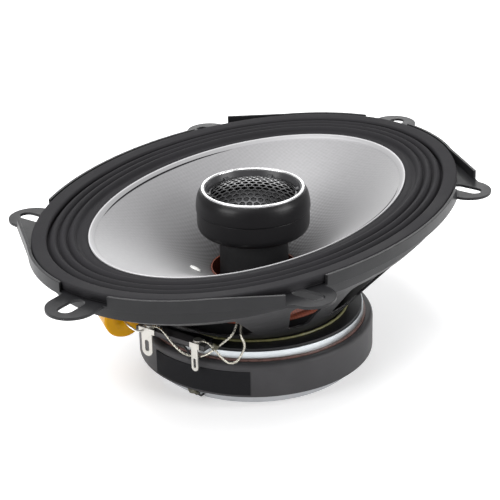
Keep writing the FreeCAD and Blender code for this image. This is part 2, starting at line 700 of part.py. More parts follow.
def board():
    """Insulating board under the blades."""
    low = NEGATIVE_Y - 4.2
    high = POSITIVE_Y + 5.2
    shape = block((-BOARD_X, -BOARD_X + BOARD_DEPTH), (low, high), (BOARD_Z, BOARD_Z + BOARD_T))
    return shape


def blade(y, width):
    """Blade: a tab on the board, bent down over its edge, with a slot near the tip."""
    z = BOARD_Z + BOARD_T
    tab = block((-BOARD_X - BLADE_T, -BOARD_X + BOARD_DEPTH - 0.3), (y - width / 2, y + width / 2), (z, z + BLADE_T))
    shoulder = width * 0.75
    tab = tab.fuse(block((-BOARD_X - BLADE_T, -BOARD_X), (y - shoulder, y + shoulder), (z - 1.6, z + BLADE_T)))
    half = width / 2
    tip = z - BLADE_DROP + half
    drop = block((-BOARD_X - BLADE_T, -BOARD_X), (y - half, y + half), (tip, z))
    end = Part.makeCylinder(half, BLADE_T, V(-BOARD_X - BLADE_T, y, tip), V(1, 0, 0))
    hole_r = width * 0.19
    low = tip + 0.4
    high = tip + 3.2
    hole = block((-BOARD_X - 1, -BOARD_X + 1), (y - hole_r, y + hole_r), (low, high))
    for level in (low, high):
        hole = hole.fuse(Part.makeCylinder(hole_r, 2, V(-BOARD_X - 1, y, level), V(1, 0, 0)))
    return tab.fuse(drop).fuse(end).cut(hole).removeSplitter()


def rivets():
    """Two rivets through blade, board and bracket, as one group."""
    z = BOARD_Z - 0.8
    top = BOARD_Z + BOARD_T + BLADE_T
    shapes = []
    for x, y in rivet_places():
        body = disc(RIVET_RADIUS, z, top - z, x, y)
        body = body.fuse(disc(RIVET_RADIUS * 1.8, top, 0.6, x, y))
        shapes.append(body.fuse(disc(RIVET_RADIUS * 1.8, z - 0.6, 0.6, x, y)).removeSplitter())
    return shapes


def turned(shape, angle):
    """A shape made along +X, moved so that its face centre and axis are the capacitor's."""
    shape.rotate(V(0, 0, 0), UP, angle)
    shape.translate(V(*CAPACITOR_FACE))
    return shape


def capacitor():
    """Wrapped film capacitor with slightly rounded ends."""
    body = Part.makeCylinder(CAPACITOR_RADIUS, CAPACITOR_LENGTH, V(-CAPACITOR_LENGTH, 0, 0), V(1, 0, 0))
    rims = [e for e in body.Edges if abs(e.Length - 2 * math.pi * CAPACITOR_RADIUS) < 0.01]
    return turned(body.makeFillet(0.8, rims), CAPACITOR_TURN)


def capacitor_glue():
    """Pad of adhesive between the capacitor and the basket's sloping wall."""
    length, width = GLUE_PAD
    middle = -CAPACITOR_LENGTH / 2
    pad = block((middle - length / 2, middle + length / 2), (-width / 2, width / 2), (0, 16))
    pad.rotate(V(0, 0, 0), V(1, 0, 0), -GLUE_LEAN)
    pad = turned(pad, CAPACITOR_TURN)
    foot = Part.Wire(oval_edge(BASKET_FOOT_RADIUS, BASKET_FOOT_RADIUS, FLOOR_Z))
    crease = Part.Wire(oval_edge(CREASE[0], CREASE[1], CREASE_Z))
    inside = Part.makeLoft([foot, crease], True, True)
    return pad.cut(capacitor()).cut(inside)


# ---- leads ---------------------------------------------------------------------------------
def on_cone(angle):
    """Point on the cone's upper face where a lead passes, and the face's normal there."""
    a = math.radians(angle)
    half_length = CONE_HALF_LENGTH + PAD_SHARE * (FORMER_RADIUS - CONE_HALF_LENGTH)
    half_width = CONE_HALF_WIDTH + PAD_SHARE * (FORMER_RADIUS - CONE_HALF_WIDTH)
    radius = 1 / math.hypot(math.cos(a) / half_length, math.sin(a) / half_width)
    z = CONE_EDGE_Z - CONE_DEPTH * PAD_SHARE + 4 * CONE_SWELL * PAD_SHARE * (1 - PAD_SHARE)
    fall = CONE_DEPTH - 4 * CONE_SWELL * (1 - 2 * PAD_SHARE)
    slope = fall / (CONE_HALF_LENGTH - FORMER_RADIUS)
    out = V(math.cos(a), math.sin(a), 0)
    return out * radius + V(0, 0, z), (V(0, 0, 1) - out * slope).normalize()


def cone_pads():
    """Adhesive above and below the cone at each braided lead."""
    pads = []
    for angle in PAD_ANGLES:
        place, normal = on_cone(angle)
        pads.append(Part.makeCylinder(PAD_RADIUS, 2.4, place - normal * 1.8, normal))
    solids = []
    for pad in pads:
        solids += pad.cut(cone()).Solids
    return Part.makeCompound(solids)


def inner_route(outer, middle, angle):
    """Inner half of a braided lead, straight on from its outer half, then up to its pad."""
    start = V(*outer[-1])
    on = (start - V(*outer[-2])).normalize()
    place, normal = on_cone(angle)
    first = start + on * 3.2
    return [start, first] + [V(*p) for p in middle] + [place - normal * 5.2, place - normal * 1.8]


def tweeter_wire(y, onward):
    """Route from the tweeter's frame down post and pole, out along the yoke, up the boot."""
    out_x = -(HOUSING_RADIUS - HOUSING_T - 2.0)
    floor = HOUSING_BOTTOM + HOUSING_T - 0.5
    top = HOUSING_BOTTOM + HOUSING_T + 6.2
    return [
        (out_x, y, top), (out_x, y, floor), (WIRE_BORE_X, y, floor), (WIRE_BORE_X, y, WIRE_LEVEL),
        (-YOKE_RADIUS - 1.2, y, WIRE_LEVEL), (WIRE_BOOT_X, y, 3.9), (WIRE_BOOT_X, y, 19.4)] + onward


def tweeter_routes():
    onward = (WIRE_TO_BLADE, WIRE_TO_CAPACITOR)
    return [tweeter_wire(y, way) for y, way in zip(WIRE_YS, onward)]


def channelled(shape):
    """The shape with channels for the tweeter leads, open at the yoke's rear."""
    for points in tweeter_routes():
        shape = shape.cut(route(points, WIRE_RADIUS + CHANNEL_GAP, WIRE_BEND))
    return shape


def rear_grooves():
    half = WIRE_RADIUS + CHANNEL_GAP
    return [block((-YOKE_RADIUS - 1, WIRE_BORE_X), (y - half, y + half), (-0.1, WIRE_LEVEL)) for y in WIRE_YS]


def lead_blobs(leads):
    """Dabs of sealant: where the tweeter leads turn up the boot, and where braids cross."""
    low = Part.makeSphere(BLOB_RADIUS, V(WIRE_BOOT_X + 0.7, sum(WIRE_YS) / 2, BOOT_BOTTOM - 1.6))
    knot = Part.makeSphere(BLOB_RADIUS * 0.8, V(-46.3, -14.8, 26.6))
    low = low.cut([boot(), yoke(), disc(MAGNET_RADIUS, MAGNET_Z, MAGNET_T)] + leads)
    knot = knot.cut(leads)
    return Part.makeCompound([max(s.Solids, key=lambda solid: solid.Volume) for s in (low, knot)])


def save_leads():
    positive = route(POSITIVE_ROUTE, BRAID_RADIUS)
    negative = route(NEGATIVE_ROUTE, BRAID_RADIUS)
    save("positive_lead", positive)
    save("negative_lead", negative)
    save("cone_lead_pads", cone_pads())
    inner = inner_route(POSITIVE_ROUTE, POSITIVE_INNER, PAD_ANGLES[0])
    save("positive_tinsel_lead", route(inner, BRAID_RADIUS))
    inner = inner_route(NEGATIVE_ROUTE, NEGATIVE_INNER, PAD_ANGLES[1])
    save("negative_tinsel_lead", route(inner, BRAID_RADIUS))
    wires = [route(points, WIRE_RADIUS, WIRE_BEND) for points in tweeter_routes()]
    save("tweeter_lead_a", wires[0])
    save("tweeter_lead_b", wires[1])
    save("lead_glue_blob", lead_blobs([positive, negative] + wires))
    out = V(math.cos(math.radians(CAPACITOR_TURN)), math.sin(math.radians(CAPACITOR_TURN)), 0)
    rear = V(*CAPACITOR_FACE) - out * CAPACITOR_LENGTH
    save("capacitor_front_lead", route([V(*CAPACITOR_FACE)] + FRONT_WIRE, WIRE_RADIUS))
    save("capacitor_rear_lead", route([rear] + REAR_WIRE, WIRE_RADIUS))


def basket_rivets():
    """Four rivets that clamp the basket's base to the top plate."""
    places = []
    for angle in (45, 135, 225, 315):
        a = math.radians(angle)
        places.append((26 * math.cos(a), 26 * math.sin(a)))
    return places


def main():
    save("magnet_yoke", channelled(yoke()).cut(rear_grooves()))
    rear_glue = tube(YOKE_RADIUS - 0.6, MAGNET_BORE + 1, YOKE_T, GLUE_T)
    save("rear_magnet_glue", rear_glue)
    save("magnet", tube(MAGNET_RADIUS, MAGNET_BORE, MAGNET_Z, MAGNET_T))
    save("front_magnet_glue", tube(TOP_PLATE_RADIUS + 0.3, MAGNET_BORE + 1, MAGNET_TOP, GLUE_T))
    holes = [disc(1.6, TOP_PLATE_Z, 10, x, y) for x, y in basket_rivets()]
    plate = tube(TOP_PLATE_RADIUS, TOP_PLATE_BORE, TOP_PLATE_Z, TOP_PLATE_T)
    save("top_plate", plate.cut(holes))
    save("magnet_boot", channelled(boot()))
    save("label_patch", label())

    frame = basket().cut(holes)
    save("basket", frame)
    rivet_solids = []
    for x, y in basket_rivets():
        shank = disc(1.6, TOP_PLATE_Z, FLOOR_Z - TOP_PLATE_Z, x, y)
        rivet_solids.append(shank.fuse(disc(2.6, FLOOR_Z, 0.9, x, y)).removeSplitter())
    save("basket_rivets", Part.makeCompound(rivet_solids))
    bead = Part.makeTorus(BEAD_RING, BEAD_RADIUS, V(0, 0, FLOOR_Z + BEAD_RADIUS))
    save("basket_seam_bead", bead)
    save("flange_gasket", gasket())

    save("surround", surround())
    save("cone", cone())
    save("voice_coil_former", tube(FORMER_RADIUS, FORMER_BORE, FORMER_Z, FORMER_TOP - FORMER_Z))
    save("voice_coil_winding", tube(WINDING_RADIUS, FORMER_RADIUS, WINDING_Z, WINDING_LENGTH))
    save("spider", spider())
    seat = tube(SPIDER_RADIUS, SPIDER_RADIUS - SPIDER_SEAT_WIDTH, FLOOR_Z, SPIDER_Z - FLOOR_Z)
    save("spider_seat_ring", seat)

    save("tweeter_post", channelled(post()))
    save("post_screw", rear_screw())
    save("tweeter_housing", channelled(housing()))
    save("tweeter_shell", shell())
    save("trim_ring", trim_ring())
    save("grille_bezel", bezel())
    save("mesh_grille", grille())
    tweeter_parts()

    hole_list = [disc(RIVET_RADIUS, BOARD_Z - 1, BOARD_T + 3, x, y) for x, y in rivet_places()]
    save("terminal_bracket", bracket().cut(hole_list))
    save("terminal_board", board().cut(hole_list))
    save("positive_blade", blade(POSITIVE_Y, POSITIVE_WIDTH).cut(hole_list))
    save("negative_blade", blade(NEGATIVE_Y, NEGATIVE_WIDTH).cut(hole_list))
    save("terminal_rivets", Part.makeCompound(rivets()))
    save("capacitor", capacitor())
    save("capacitor_glue", capacitor_glue())
    save_leads()


main()
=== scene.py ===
import math

import bmesh
import bpy
import numpy as np
from bpy.props import FloatProperty, FloatVectorProperty, IntProperty, PointerProperty
from mathutils import Matrix, Vector, noise


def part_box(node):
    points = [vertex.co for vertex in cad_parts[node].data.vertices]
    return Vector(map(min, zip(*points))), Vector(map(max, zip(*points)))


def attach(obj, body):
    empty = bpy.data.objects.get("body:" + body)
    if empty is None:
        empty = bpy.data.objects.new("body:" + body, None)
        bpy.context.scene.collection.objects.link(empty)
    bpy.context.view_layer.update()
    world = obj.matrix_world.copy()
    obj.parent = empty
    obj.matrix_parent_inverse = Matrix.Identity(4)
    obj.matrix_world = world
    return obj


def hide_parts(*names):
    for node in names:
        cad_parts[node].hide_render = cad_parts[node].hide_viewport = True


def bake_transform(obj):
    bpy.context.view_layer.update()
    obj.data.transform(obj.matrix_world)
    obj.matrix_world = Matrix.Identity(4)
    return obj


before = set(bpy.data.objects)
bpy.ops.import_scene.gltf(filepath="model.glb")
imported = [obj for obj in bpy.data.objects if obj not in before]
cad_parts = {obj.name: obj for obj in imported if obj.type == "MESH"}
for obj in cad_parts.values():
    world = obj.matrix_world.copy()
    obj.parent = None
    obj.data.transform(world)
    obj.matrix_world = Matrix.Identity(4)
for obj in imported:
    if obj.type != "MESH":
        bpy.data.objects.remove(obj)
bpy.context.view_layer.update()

bl_info = {
    "name": "Coaxial Car Speaker",
    "version": (1, 0, 0),
    "blender": (4, 5, 0),
    "location": "View3D > Sidebar > Speaker",
    "description": "Dresses the packed frame of an oval two-way car speaker with its visible pieces",
    "category": "Object",
}

# Lengths are in millimetres until a mesh is made, then in metres.
MM = 0.001
AROUND = 256  # points round a turned piece
OVAL_AROUND = 320  # points round an oval piece
SILK = (0.035, 0.035, 0.038)
SILK_RISE = 1.0  # height of the tweeter's half roll
SILK_WALL = 0.3
ROW_CROWDING = 1.15  # above 1, the cone's rows lie closer at its edge
BAND_STEP = 0.28  # drop from the cone's glued band to its cloth
ROLL_FULLNESS = 0.72  # below 1, the rubber's rolls are fuller than a sine
LAND_BOW = 0.35  # bow of the rubber between its last roll and the cone
RUBBER_GAP = 0.01  # clearance between the rubber's land and the cone
SPIDER_FLATS = (1.2, 0.6)  # flat parts of the spider, at the coil and at its seat
MESH_EDGE = 0.09  # rounding of the mesh's edges
BRAID_STEP = 0.22  # distance between a strand's rings
WIRE_STEP = 0.3  # distance between a wire's rings
BEND_STEP = 0.4  # distance between the points that a tinsel lead bends by
FRAME_BODY = "frame"
CONE_BODY = "cone_assembly"


def low_high(node):
    """A node's lowest and highest corner in millimetres."""
    low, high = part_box(node)
    return low / MM, high / MM


RUBBER_BOX = low_high("surround")
CONE_BOX = low_high("cone")
GASKET_BOX = low_high("flange_gasket")
FORMER_BOX = low_high("voice_coil_former")
SPIDER_BOX = low_high("spider")
CUP_BOX = low_high("tweeter_housing")
SHELL_BOX = low_high("tweeter_shell")
TRIM_BOX = low_high("trim_ring")
BEZEL_BOX = low_high("grille_bezel")
GRILLE_BOX = low_high("mesh_grille")
CAPACITOR_BOX = low_high("capacitor")


# ---- user's sizes and colours ----
def length(name, text, default, low=0.0):
    """Property for a length in millimetres."""
    return FloatProperty(name=name, description=text + ", in millimetres", default=default, min=low)


def colour(name, text, default):
    """Property for a linear colour."""
    return FloatVectorProperty(
        name=name, description=text, default=default, subtype="COLOR", size=3, min=0.0, max=1.0)


class SpeakerDiaphragmSizes(bpy.types.PropertyGroup):
    """Sizes of the cone, its rubber edge and its spider."""

    roll_count: IntProperty(name="Rolls", description="Rolls in the rubber edge", default=3, min=1)
    roll_start: length("Roll start", "From the rubber's outer edge to its first roll", 6.2)
    roll_width: length("Roll width", "Width of one roll", 3.55)
    roll_height: length("Roll height", "Height of one roll", 1.75)
    roll_foot: length("Roll foot", "Feet of the rolls above the rubber's flat rim", 0.5)
    rubber: length("Rubber", "Thickness of the rubber edge", 0.8)
    cone_wall: length("Cone wall", "Thickness of the cone", 0.6)
    cone_swell: length("Cone swell", "Bow of the cone above a straight side", 1.8)
    cone_band: length("Cone band", "Glued band at the cone's edge", 2.2)
    spider_waves: IntProperty(name="Waves", description="Waves in the spider", default=4, min=1)
    spider_wave: length("Wave", "Height of the spider's waves either way", 0.9)
    spider_wall: length("Spider wall", "Thickness of the spider", 0.5)
    spider_seat: length("Spider seat", "Glued rim of the spider", 2.6)
    gasket_width: length("Gasket width", "Width of the gasket", 5.8)
    gasket_round: length("Gasket rounding", "Rounding of the gasket's edges", 0.9)


class SpeakerTweeterSizes(bpy.types.PropertyGroup):
    """Sizes of the tweeter's cup, ring and mesh."""

    wall: length("Wall", "Thickness of the cup", 1.6)
    cup_round: length("Cup rounding", "Rounding under the cup", 5.0)
    hole_pitch: length("Hole pitch", "Distance between neighbouring holes of the mesh", 2.65)
    web: length("Web", "Metal between neighbouring holes", 0.5)
    mesh_wall: length("Mesh wall", "Thickness of the mesh", 0.45)
    clip_count: IntProperty(name="Clips", description="Clips that hold the mesh", default=6, min=0)


class SpeakerWireSizes(bpy.types.PropertyGroup):
    """Sizes of the leads and of the capacitor."""

    braid: length("Braid", "Radius of the braided leads", 0.45)
    strand: length("Strand", "Radius of one strand of braid", 0.215)
    strands: IntProperty(name="Strands", description="Strands in one braided lead", default=3, min=2)
    lay: length("Lay", "Length of one turn of a strand", 4.2)
    wire: length("Wire", "Radius of the plain wires", 0.4)
    capacitor_length: length("Capacitor length", "Length of the capacitor", 22.0)
    capacitor_turn: FloatProperty(
        name="Capacitor turn", description="Direction that the capacitor's front face looks",
        default=math.radians(235), subtype="ANGLE")


class SpeakerColours(bpy.types.PropertyGroup):
    """Colours of the main finishes."""

    paint: colour("Paint", "Basket paint", (0.010, 0.010, 0.011))
    cone: colour("Cone", "Woven cone", (0.262, 0.260, 0.266))
    rubber: colour("Rubber", "Rolled edge", (0.013, 0.0125, 0.014))
    gasket: colour("Gasket", "Gasket", (0.014, 0.0135, 0.015))
    cup: colour("Cup", "Tweeter cup", (0.004, 0.0037, 0.0044))
    boot: colour("Boot", "Magnet boot", (0.036, 0.035, 0.037))
    capacitor: colour("Capacitor", "Capacitor wrap", (0.46, 0.225, 0.001))
    spider: colour("Spider", "Spider cloth", (0.33, 0.075, 0.035))
    sealant: colour("Sealant", "Bead of sealant", (0.13, 0.125, 0.045))


# ---- meshes ----
def linked(name, data):
    """New object in the scene."""
    made = bpy.data.objects.new(name, data)
    bpy.context.scene.collection.objects.link(made)
    return made


def make_piece(name, points, faces, finish, slot, smooth=True):
    """Object from points in millimetres, with one finish; its slot argument is not used."""
    mesh = bpy.data.meshes.new(name)
    mesh.from_pydata([tuple(c * MM for c in p) for p in points], [], faces)
    mesh.validate()
    tidy_mesh = bmesh.new()
    tidy_mesh.from_mesh(mesh)
    bmesh.ops.recalc_face_normals(tidy_mesh, faces=tidy_mesh.faces)
    tidy_mesh.to_mesh(mesh)
    tidy_mesh.free()
    mesh.polygons.foreach_set("use_smooth", [smooth] * len(mesh.polygons))
    mesh.materials.append(finish)
    piece = linked(name, mesh)
    return piece


def grid_faces(rows, columns, wrap_rows=True, start=0):
    """Quads over a grid of points whose columns close on themselves."""
    faces = []
    for i in range(rows if wrap_rows else rows - 1):
        for j in range(columns):
            nxt = (i + 1) % rows
            side = (j + 1) % columns
            faces.append((start + i * columns + j, start + i * columns + side,
                          start + nxt * columns + side, start + nxt * columns + j))
    return faces


def swept(outline, around=AROUND):
    """Points and faces of a closed outline of (half length, half width, z), swept round Z."""
    points = []
    for half_length, half_width, z in outline:
        for j in range(around):
            a = math.tau * j / around
            points.append((half_length * math.cos(a), half_width * math.sin(a), z))
    return points, grid_faces(len(outline), around)


def turned(outline, around=AROUND):
    """The same for a round piece whose outline is of (radius, z)."""
    return swept([(r, r, z) for r, z in outline], around)


def rounded(corners, radii, steps=5):
    """Closed outline in a plane with each corner rounded by its radius."""
    out = []
    count = len(corners)
    for i, corner in enumerate(corners):
        here = Vector(corner)
        before = (Vector(corners[i - 1]) - here)
        after = (Vector(corners[(i + 1) % count]) - here)
        radius = min(radii[i], 0.45 * before.length, 0.45 * after.length)
        if radius < 1e-4:
            out.append(tuple(here))
            continue
        first = here + before.normalized() * radius
        last = here + after.normalized() * radius
        for k in range(steps + 1):
            t = k / steps
            out.append(tuple(first * (1 - t) ** 2 + here * 2 * t * (1 - t) + last * t * t))
    return out


def turned_piece(name, corners, radii, steps, finish, slot):
    """Round piece from rounded corners of (radius, z)."""
    return make_piece(name, *turned(rounded(corners, radii, steps)), finish, slot)


def joined(*parts):
    """Several lists of points and faces as one."""
    points = []
    faces = []
    for some_points, some_faces in parts:
        start = len(points)
        points += list(some_points)
        faces += [tuple(start + k for k in face) for face in some_faces]
    return points, faces


def bent_block(centre_angle, radius, width, section, steps=4):
    """Short block bent round Z, from a closed section of (radius offset, z)."""
    points = []
    half = width / radius / 2
    for i in range(steps + 1):
        a = centre_angle - half + 2 * half * i / steps
        for offset, z in section:
            points.append(((radius + offset) * math.cos(a), (radius + offset) * math.sin(a), z))
    count = len(section)
    faces = [tuple(range(count)), tuple(range(steps * count, (steps + 1) * count))]
    for i in range(steps):
        for j in range(count):
            nxt = (j + 1) % count
            faces.append((i * count + j, i * count + nxt, (i + 1) * count + nxt, (i + 1) * count + j))
    return points, faces


def lump(centre, radii, normal=(0, 0, 1), roughness=0.12, seed=0.0, detail=4):
    """Lumpy blob of dried adhesive, its last radius along the normal."""
    ball = bmesh.new()
    bmesh.ops.create_icosphere(ball, subdivisions=detail, radius=1.0)
    turn = Vector(normal).to_track_quat("Z", "Y").to_matrix()
    points = []
    for vert in ball.verts:
        swell = 1 + roughness * noise.noise(vert.co * 1.7 + Vector((seed, seed, seed)))
        swell += roughness * 0.4 * noise.noise(vert.co * 5.0 + Vector((seed, 0, 0)))
        local = Vector(c * r * swell for c, r in zip(vert.co, radii))
        points.append(tuple(Vector(centre) + turn @ local))
    ball.verts.ensure_lookup_table()
    faces = [tuple(v.index for v in face.verts) for face in ball.faces]
    ball.free()
    return points, faces


def sheet(line, wall):
    """Closed outline below a line of (distance, z, weight), and a weight for each of its points."""
    outline = [(k, z) for k, z, w in line] + [(k, z - wall) for k, z, w in reversed(line)]
    weights = [w for k, z, w in line]
    return outline, weights + weights[::-1]


def weigh(piece):
    """Bakes the piece's transform into its mesh."""
    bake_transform(piece)


# ---- shader graphs ----
class Signal:
    """A shader value that is used in ordinary arithmetic; each operation adds a Math node."""

    def __init__(self, finish, socket):
        self.finish = finish
        self.socket = socket

    def apply(self, operation, *values):
        return self.finish.node("ShaderNodeMath", {"operation": operation}, dict(enumerate(values)))

    def __add__(self, other):
        return self.apply("ADD", self, other)

    def __sub__(self, other):
        return self.apply("SUBTRACT", self, other)

    def __rsub__(self, other):
        return self.apply("SUBTRACT", other, self)

    def __mul__(self, other):
        return self.apply("MULTIPLY", self, other)

    def __truediv__(self, other):
        return self.apply("DIVIDE", self, other)

    def __pow__(self, other):
        return self.apply("POWER", self, other)

    __radd__ = __add__
    __rmul__ = __mul__

    def sine(self):
        return self.apply("SINE", self)

    def span(self, low, high):
        """0 at low and 1 at high, smooth between."""
        settings = {"interpolation_type": "SMOOTHSTEP"}
        ends = {0: self, 1: low, 2: high, 3: 0.0, 4: 1.0}
        return self.finish.node("ShaderNodeMapRange", settings, ends)


class Finish:
    """One procedural material round a Principled shader."""

    def __init__(self, name, colour=(0.5, 0.5, 0.5), roughness=0.5, **constants):
        self.material = bpy.data.materials.new(name)
        self.material.use_nodes = True
        self.tree = self.material.node_tree
        self.shader = self.tree.nodes["Principled BSDF"]
        self.colour = tuple(colour) + (1.0,)
        self.set("Base Color", self.colour)
        self.set("Roughness", roughness)
        for key, value in constants.items():
            self.set(key.replace("_", " ").title().replace("Ior", "IOR"), value)
        self.place = self.node("ShaderNodeTexCoord", output="Object")

    def node(self, kind, settings=None, inputs=None, output=0):
        """Adds a node: its settings first, then values or links for its sockets."""
        made = self.tree.nodes.new(kind)
        for key, value in (settings or {}).items():
            setattr(made, key, value)
        for key, value in (inputs or {}).items():
            self.join(value, made.inputs[key])
        return Signal(self, made.outputs[output])

    def join(self, value, socket):
        if isinstance(value, Signal):
            self.tree.links.new(value.socket, socket)
        else:
            socket.default_value = value

    def set(self, name, value):
        """Constant or varying value for one of the shader's sockets."""
        self.join(value, self.shader.inputs[name])
        return self

    def grain(self, size, detail=3.0, place=None):
        """Noise whose features are about size millimetres across."""
        inputs = {"Vector": place or self.place, "Scale": 1 / (size * MM), "Detail": detail}
        return self.node("ShaderNodeTexNoise", {}, inputs)

    def axis(self, letter):
        return self.node("ShaderNodeSeparateXYZ", {}, {0: self.place}, output=letter)

    def stretched(self, x, y, z):
        """Coordinates scaled unevenly, for grain with a direction."""
        return self.node("ShaderNodeVectorMath", {"operation": "MULTIPLY"}, {0: self.place, 1: (x, y, z)})

    def mix(self, mask, first, second):
        """Colour that goes from first to second with the mask."""
        sides = [c if isinstance(c, Signal) else tuple(c)[:3] + (1.0,) for c in (first, second)]
        inputs = {0: mask, 6: sides[0], 7: sides[1]}
        return self.node("ShaderNodeMix", {"data_type": "RGBA"}, inputs, output=2)

    def tint(self, mask, first, second):
        """Base colour that goes from first to second with the mask."""
        self.set("Base Color", self.mix(mask, first, second))

    def radius(self, half_length=1.0, half_width=1.0):
        """Distance from the Z axis, as a share of an oval's."""
        x = self.axis("X") / (half_length * MM)
        y = self.axis("Y") / (half_width * MM)
        return (x * x + y * y) ** 0.5

    def relief(self, height, depth, strength=1.0, soft_edge=0.0):
        """Bump of depth millimetres, over edges softened by soft_edge millimetres."""
        inputs = {"Height": height, "Strength": strength, "Distance": depth * MM}
        if soft_edge:
            inputs["Normal"] = self.node("ShaderNodeBevel", {"samples": 4}, {"Radius": soft_edge * MM})
        return self.set("Normal", self.node("ShaderNodeBump", {}, inputs))


def shade(colour, factor):
    return tuple(min(1.0, c * factor) for c in tuple(colour)[:3])


def painted(name, colour):
    """Satin paint with a fine orange-peel skin and dustier patches."""
    finish = Finish(name, colour, 0.4, specular_ior_level=0.22)
    dust = finish.grain(14.0, 4.0).span(0.42, 0.72)
    finish.tint(dust * 0.6, colour, shade(colour, 1.5))
    finish.set("Roughness", 0.34 + finish.grain(5.0) * 0.16)
    return finish.relief(finish.grain(0.7), 0.03, 0.5, soft_edge=0.35).material


def moulded(name, colour, roughness, peel=0.4, coat=0.0):
    """Moulded plastic or rubber with a fine tool texture."""
    finish = Finish(name, colour, roughness, specular_ior_level=0.2, coat_weight=coat, coat_roughness=0.25)
    patches = finish.grain(9.0, 4.0).span(0.4, 0.75)
    finish.tint(patches * 0.5, colour, shade(colour, 1.35))
    finish.set("Roughness", roughness - 0.05 + patches * 0.1)
    return finish.relief(finish.grain(0.35, 2.0), 0.02, peel).material


def rubbery(name, colour):
    """Matt rubber, faintly speckled, with a soft sheen."""
    finish = Finish(name, colour, 0.7, specular_ior_level=0.12)
    speck = finish.grain(0.5, 2.0).span(0.62, 0.72)
    haze = finish.grain(22.0, 3.0).span(0.35, 0.7)
    finish.tint(speck * 0.35 + haze * 0.35, colour, shade(colour, 1.9))
    finish.set("Roughness", 0.66 + haze * 0.14)
    return finish.relief(finish.grain(0.3, 2.0), 0.02, 0.35).material


def metal(name, colour, roughness, brush=None, wear=0.15):
    """Metal, turned or brushed where brush gives the stretch of its grain."""
    finish = Finish(name, colour, roughness, metallic=1.0)
    place = finish.stretched(*brush) if brush else finish.place
    streak = finish.grain(0.5, 4.0, place)
    blotch = finish.grain(6.0, 4.0).span(0.35, 0.75)
    finish.tint(blotch * wear + streak * 0.2, colour, shade(colour, 0.62))
    finish.set("Roughness", roughness - 0.06 + streak * 0.12 + blotch * 0.06)
    return finish.relief(streak, 0.015, 0.35, soft_edge=0.12).material


def woven(name, colour, pitch, depth=0.08, turn=0.0, contrast=0.55, roughness=0.6, metallic=0.0):
    """Plain weave of threads a pitch apart, turned about Z."""
    finish = Finish(name, colour, roughness, metallic=metallic)
    weave = thread_pattern(finish, pitch, turn)
    tone = weave.span(0.1, 0.9) * 0.7 + finish.grain(7.0).span(0.3, 0.8) * 0.3
    finish.tint(tone, shade(colour, 1 - contrast), shade(colour, 1.1))
    return finish.relief(weave, depth, 0.6).material


def thread_pattern(finish, pitch, turn):
    """Height of a plain weave, 0 to 1."""
    x = finish.axis("X")
    y = finish.axis("Y")
    count = math.pi / (pitch * MM)
    across = (x * (math.cos(turn) * count) + y * (math.sin(turn) * count)).sine()
    along = (y * (math.cos(turn) * count) - x * (math.sin(turn) * count)).sine()
    return across * along * 0.5 + 0.5


def cone_finish(colours):
    """Silver fibre cloth: fine crosshatch, a bright glued band and painted shade that darkens the throat."""
    half_length = CONE_BOX[1].x
    half_width = CONE_BOX[1].y
    finish = Finish("cone_cloth", colours.cone, 0.44, metallic=0.35, sheen_weight=0.15)
    threads = thread_pattern(finish, 1.0, math.radians(38))
    share = finish.radius(half_length, half_width)
    # painted shade: this mask darkens the cloth towards the neck, where the cone lies deepest, and also
    # strengthens the weave there
    painted_throat_shade = 1 - share.span(0.22, 0.72)
    weave = threads * (0.3 + painted_throat_shade * 0.7) + (1 - painted_throat_shade) * 0.35
    fibre = finish.grain(0.6, 3.0, finish.stretched(1.0, 0.25, 1.0))
    cloth = finish.mix(weave * 0.6 + fibre * 0.4, shade(colours.cone, 0.66), shade(colours.cone, 1.2))
    # painted shade mixed into the cloth's colour near the neck, a little less on the threads
    cloth = finish.mix(painted_throat_shade * (1 - threads * 0.55), cloth, shade(colours.cone, 0.24))
    band = share.span(0.966, 0.972)
    line = share.span(0.990, 0.994)
    cloth = finish.mix(band, cloth, shade(colours.cone, 1.12))
    finish.tint(line, cloth, shade(colours.cone, 1.7))
    finish.set("Roughness", 0.38 + weave * 0.14)
    return finish.relief(weave * (1 - band), 0.06, 0.55).material


def capacitor_finish(colours):
    """Glossy mustard wrap with warmer patches."""
    finish = Finish("capacitor_wrap", colours.capacitor, 0.3, specular_ior_level=0.1, coat_weight=0.05,
                    coat_roughness=0.12)
    crease = finish.grain(3.0, 3.0, finish.stretched(0.4, 0.4, 1.4))
    warm = finish.grain(9.0).span(0.4, 0.75)
    rich = (colours.capacitor[0], colours.capacitor[1] * 0.72, colours.capacitor[2])
    finish.tint(warm * 0.6, colours.capacitor, rich)
    finish.set("Roughness", 0.24 + crease * 0.14)
    return finish.relief(crease, 0.25, 0.4).material


def ferrite_finish():
    """Brown varnished ferrite with fine pits."""
    colour = (0.125, 0.062, 0.052)
    finish = Finish("ferrite", colour, 0.5, coat_weight=0.2, coat_roughness=0.3)
    pits = finish.grain(1.2, 5.0).span(0.35, 0.6)
    finish.tint(pits, shade(colour, 0.55), shade(colour, 1.15))
    return finish.relief(pits, 0.06, 0.5).material


def adhesive_finish(name, colour, roughness=0.35, depth=0.2):
    """Dried adhesive: uneven, slightly glossy."""
    finish = Finish(name, colour, roughness, coat_weight=0.2, coat_roughness=0.2)
    clouds = finish.grain(1.1, 4.0)
    finish.tint(clouds.span(0.3, 0.7), shade(colour, 0.7), shade(colour, 1.2))
    finish.set("Roughness", roughness - 0.08 + clouds * 0.2)
    return finish.relief(clouds, depth, 0.6).material


def tape_finish():
    """Dull black cloth tape."""
    colour = (0.008, 0.008, 0.009)
    finish = Finish("cloth_tape", colour, 0.8, specular_ior_level=0.1)
    threads = (finish.axis("Z") * (math.tau / (0.45 * MM))).sine() * 0.5 + 0.5
    fuzz = finish.grain(0.4, 3.0)
    finish.tint(threads * 0.5 + fuzz * 0.5, shade(colour, 0.7), shade(colour, 1.9))
    return finish.relief(threads * 0.6 + fuzz * 0.4, 0.03, 0.5).material


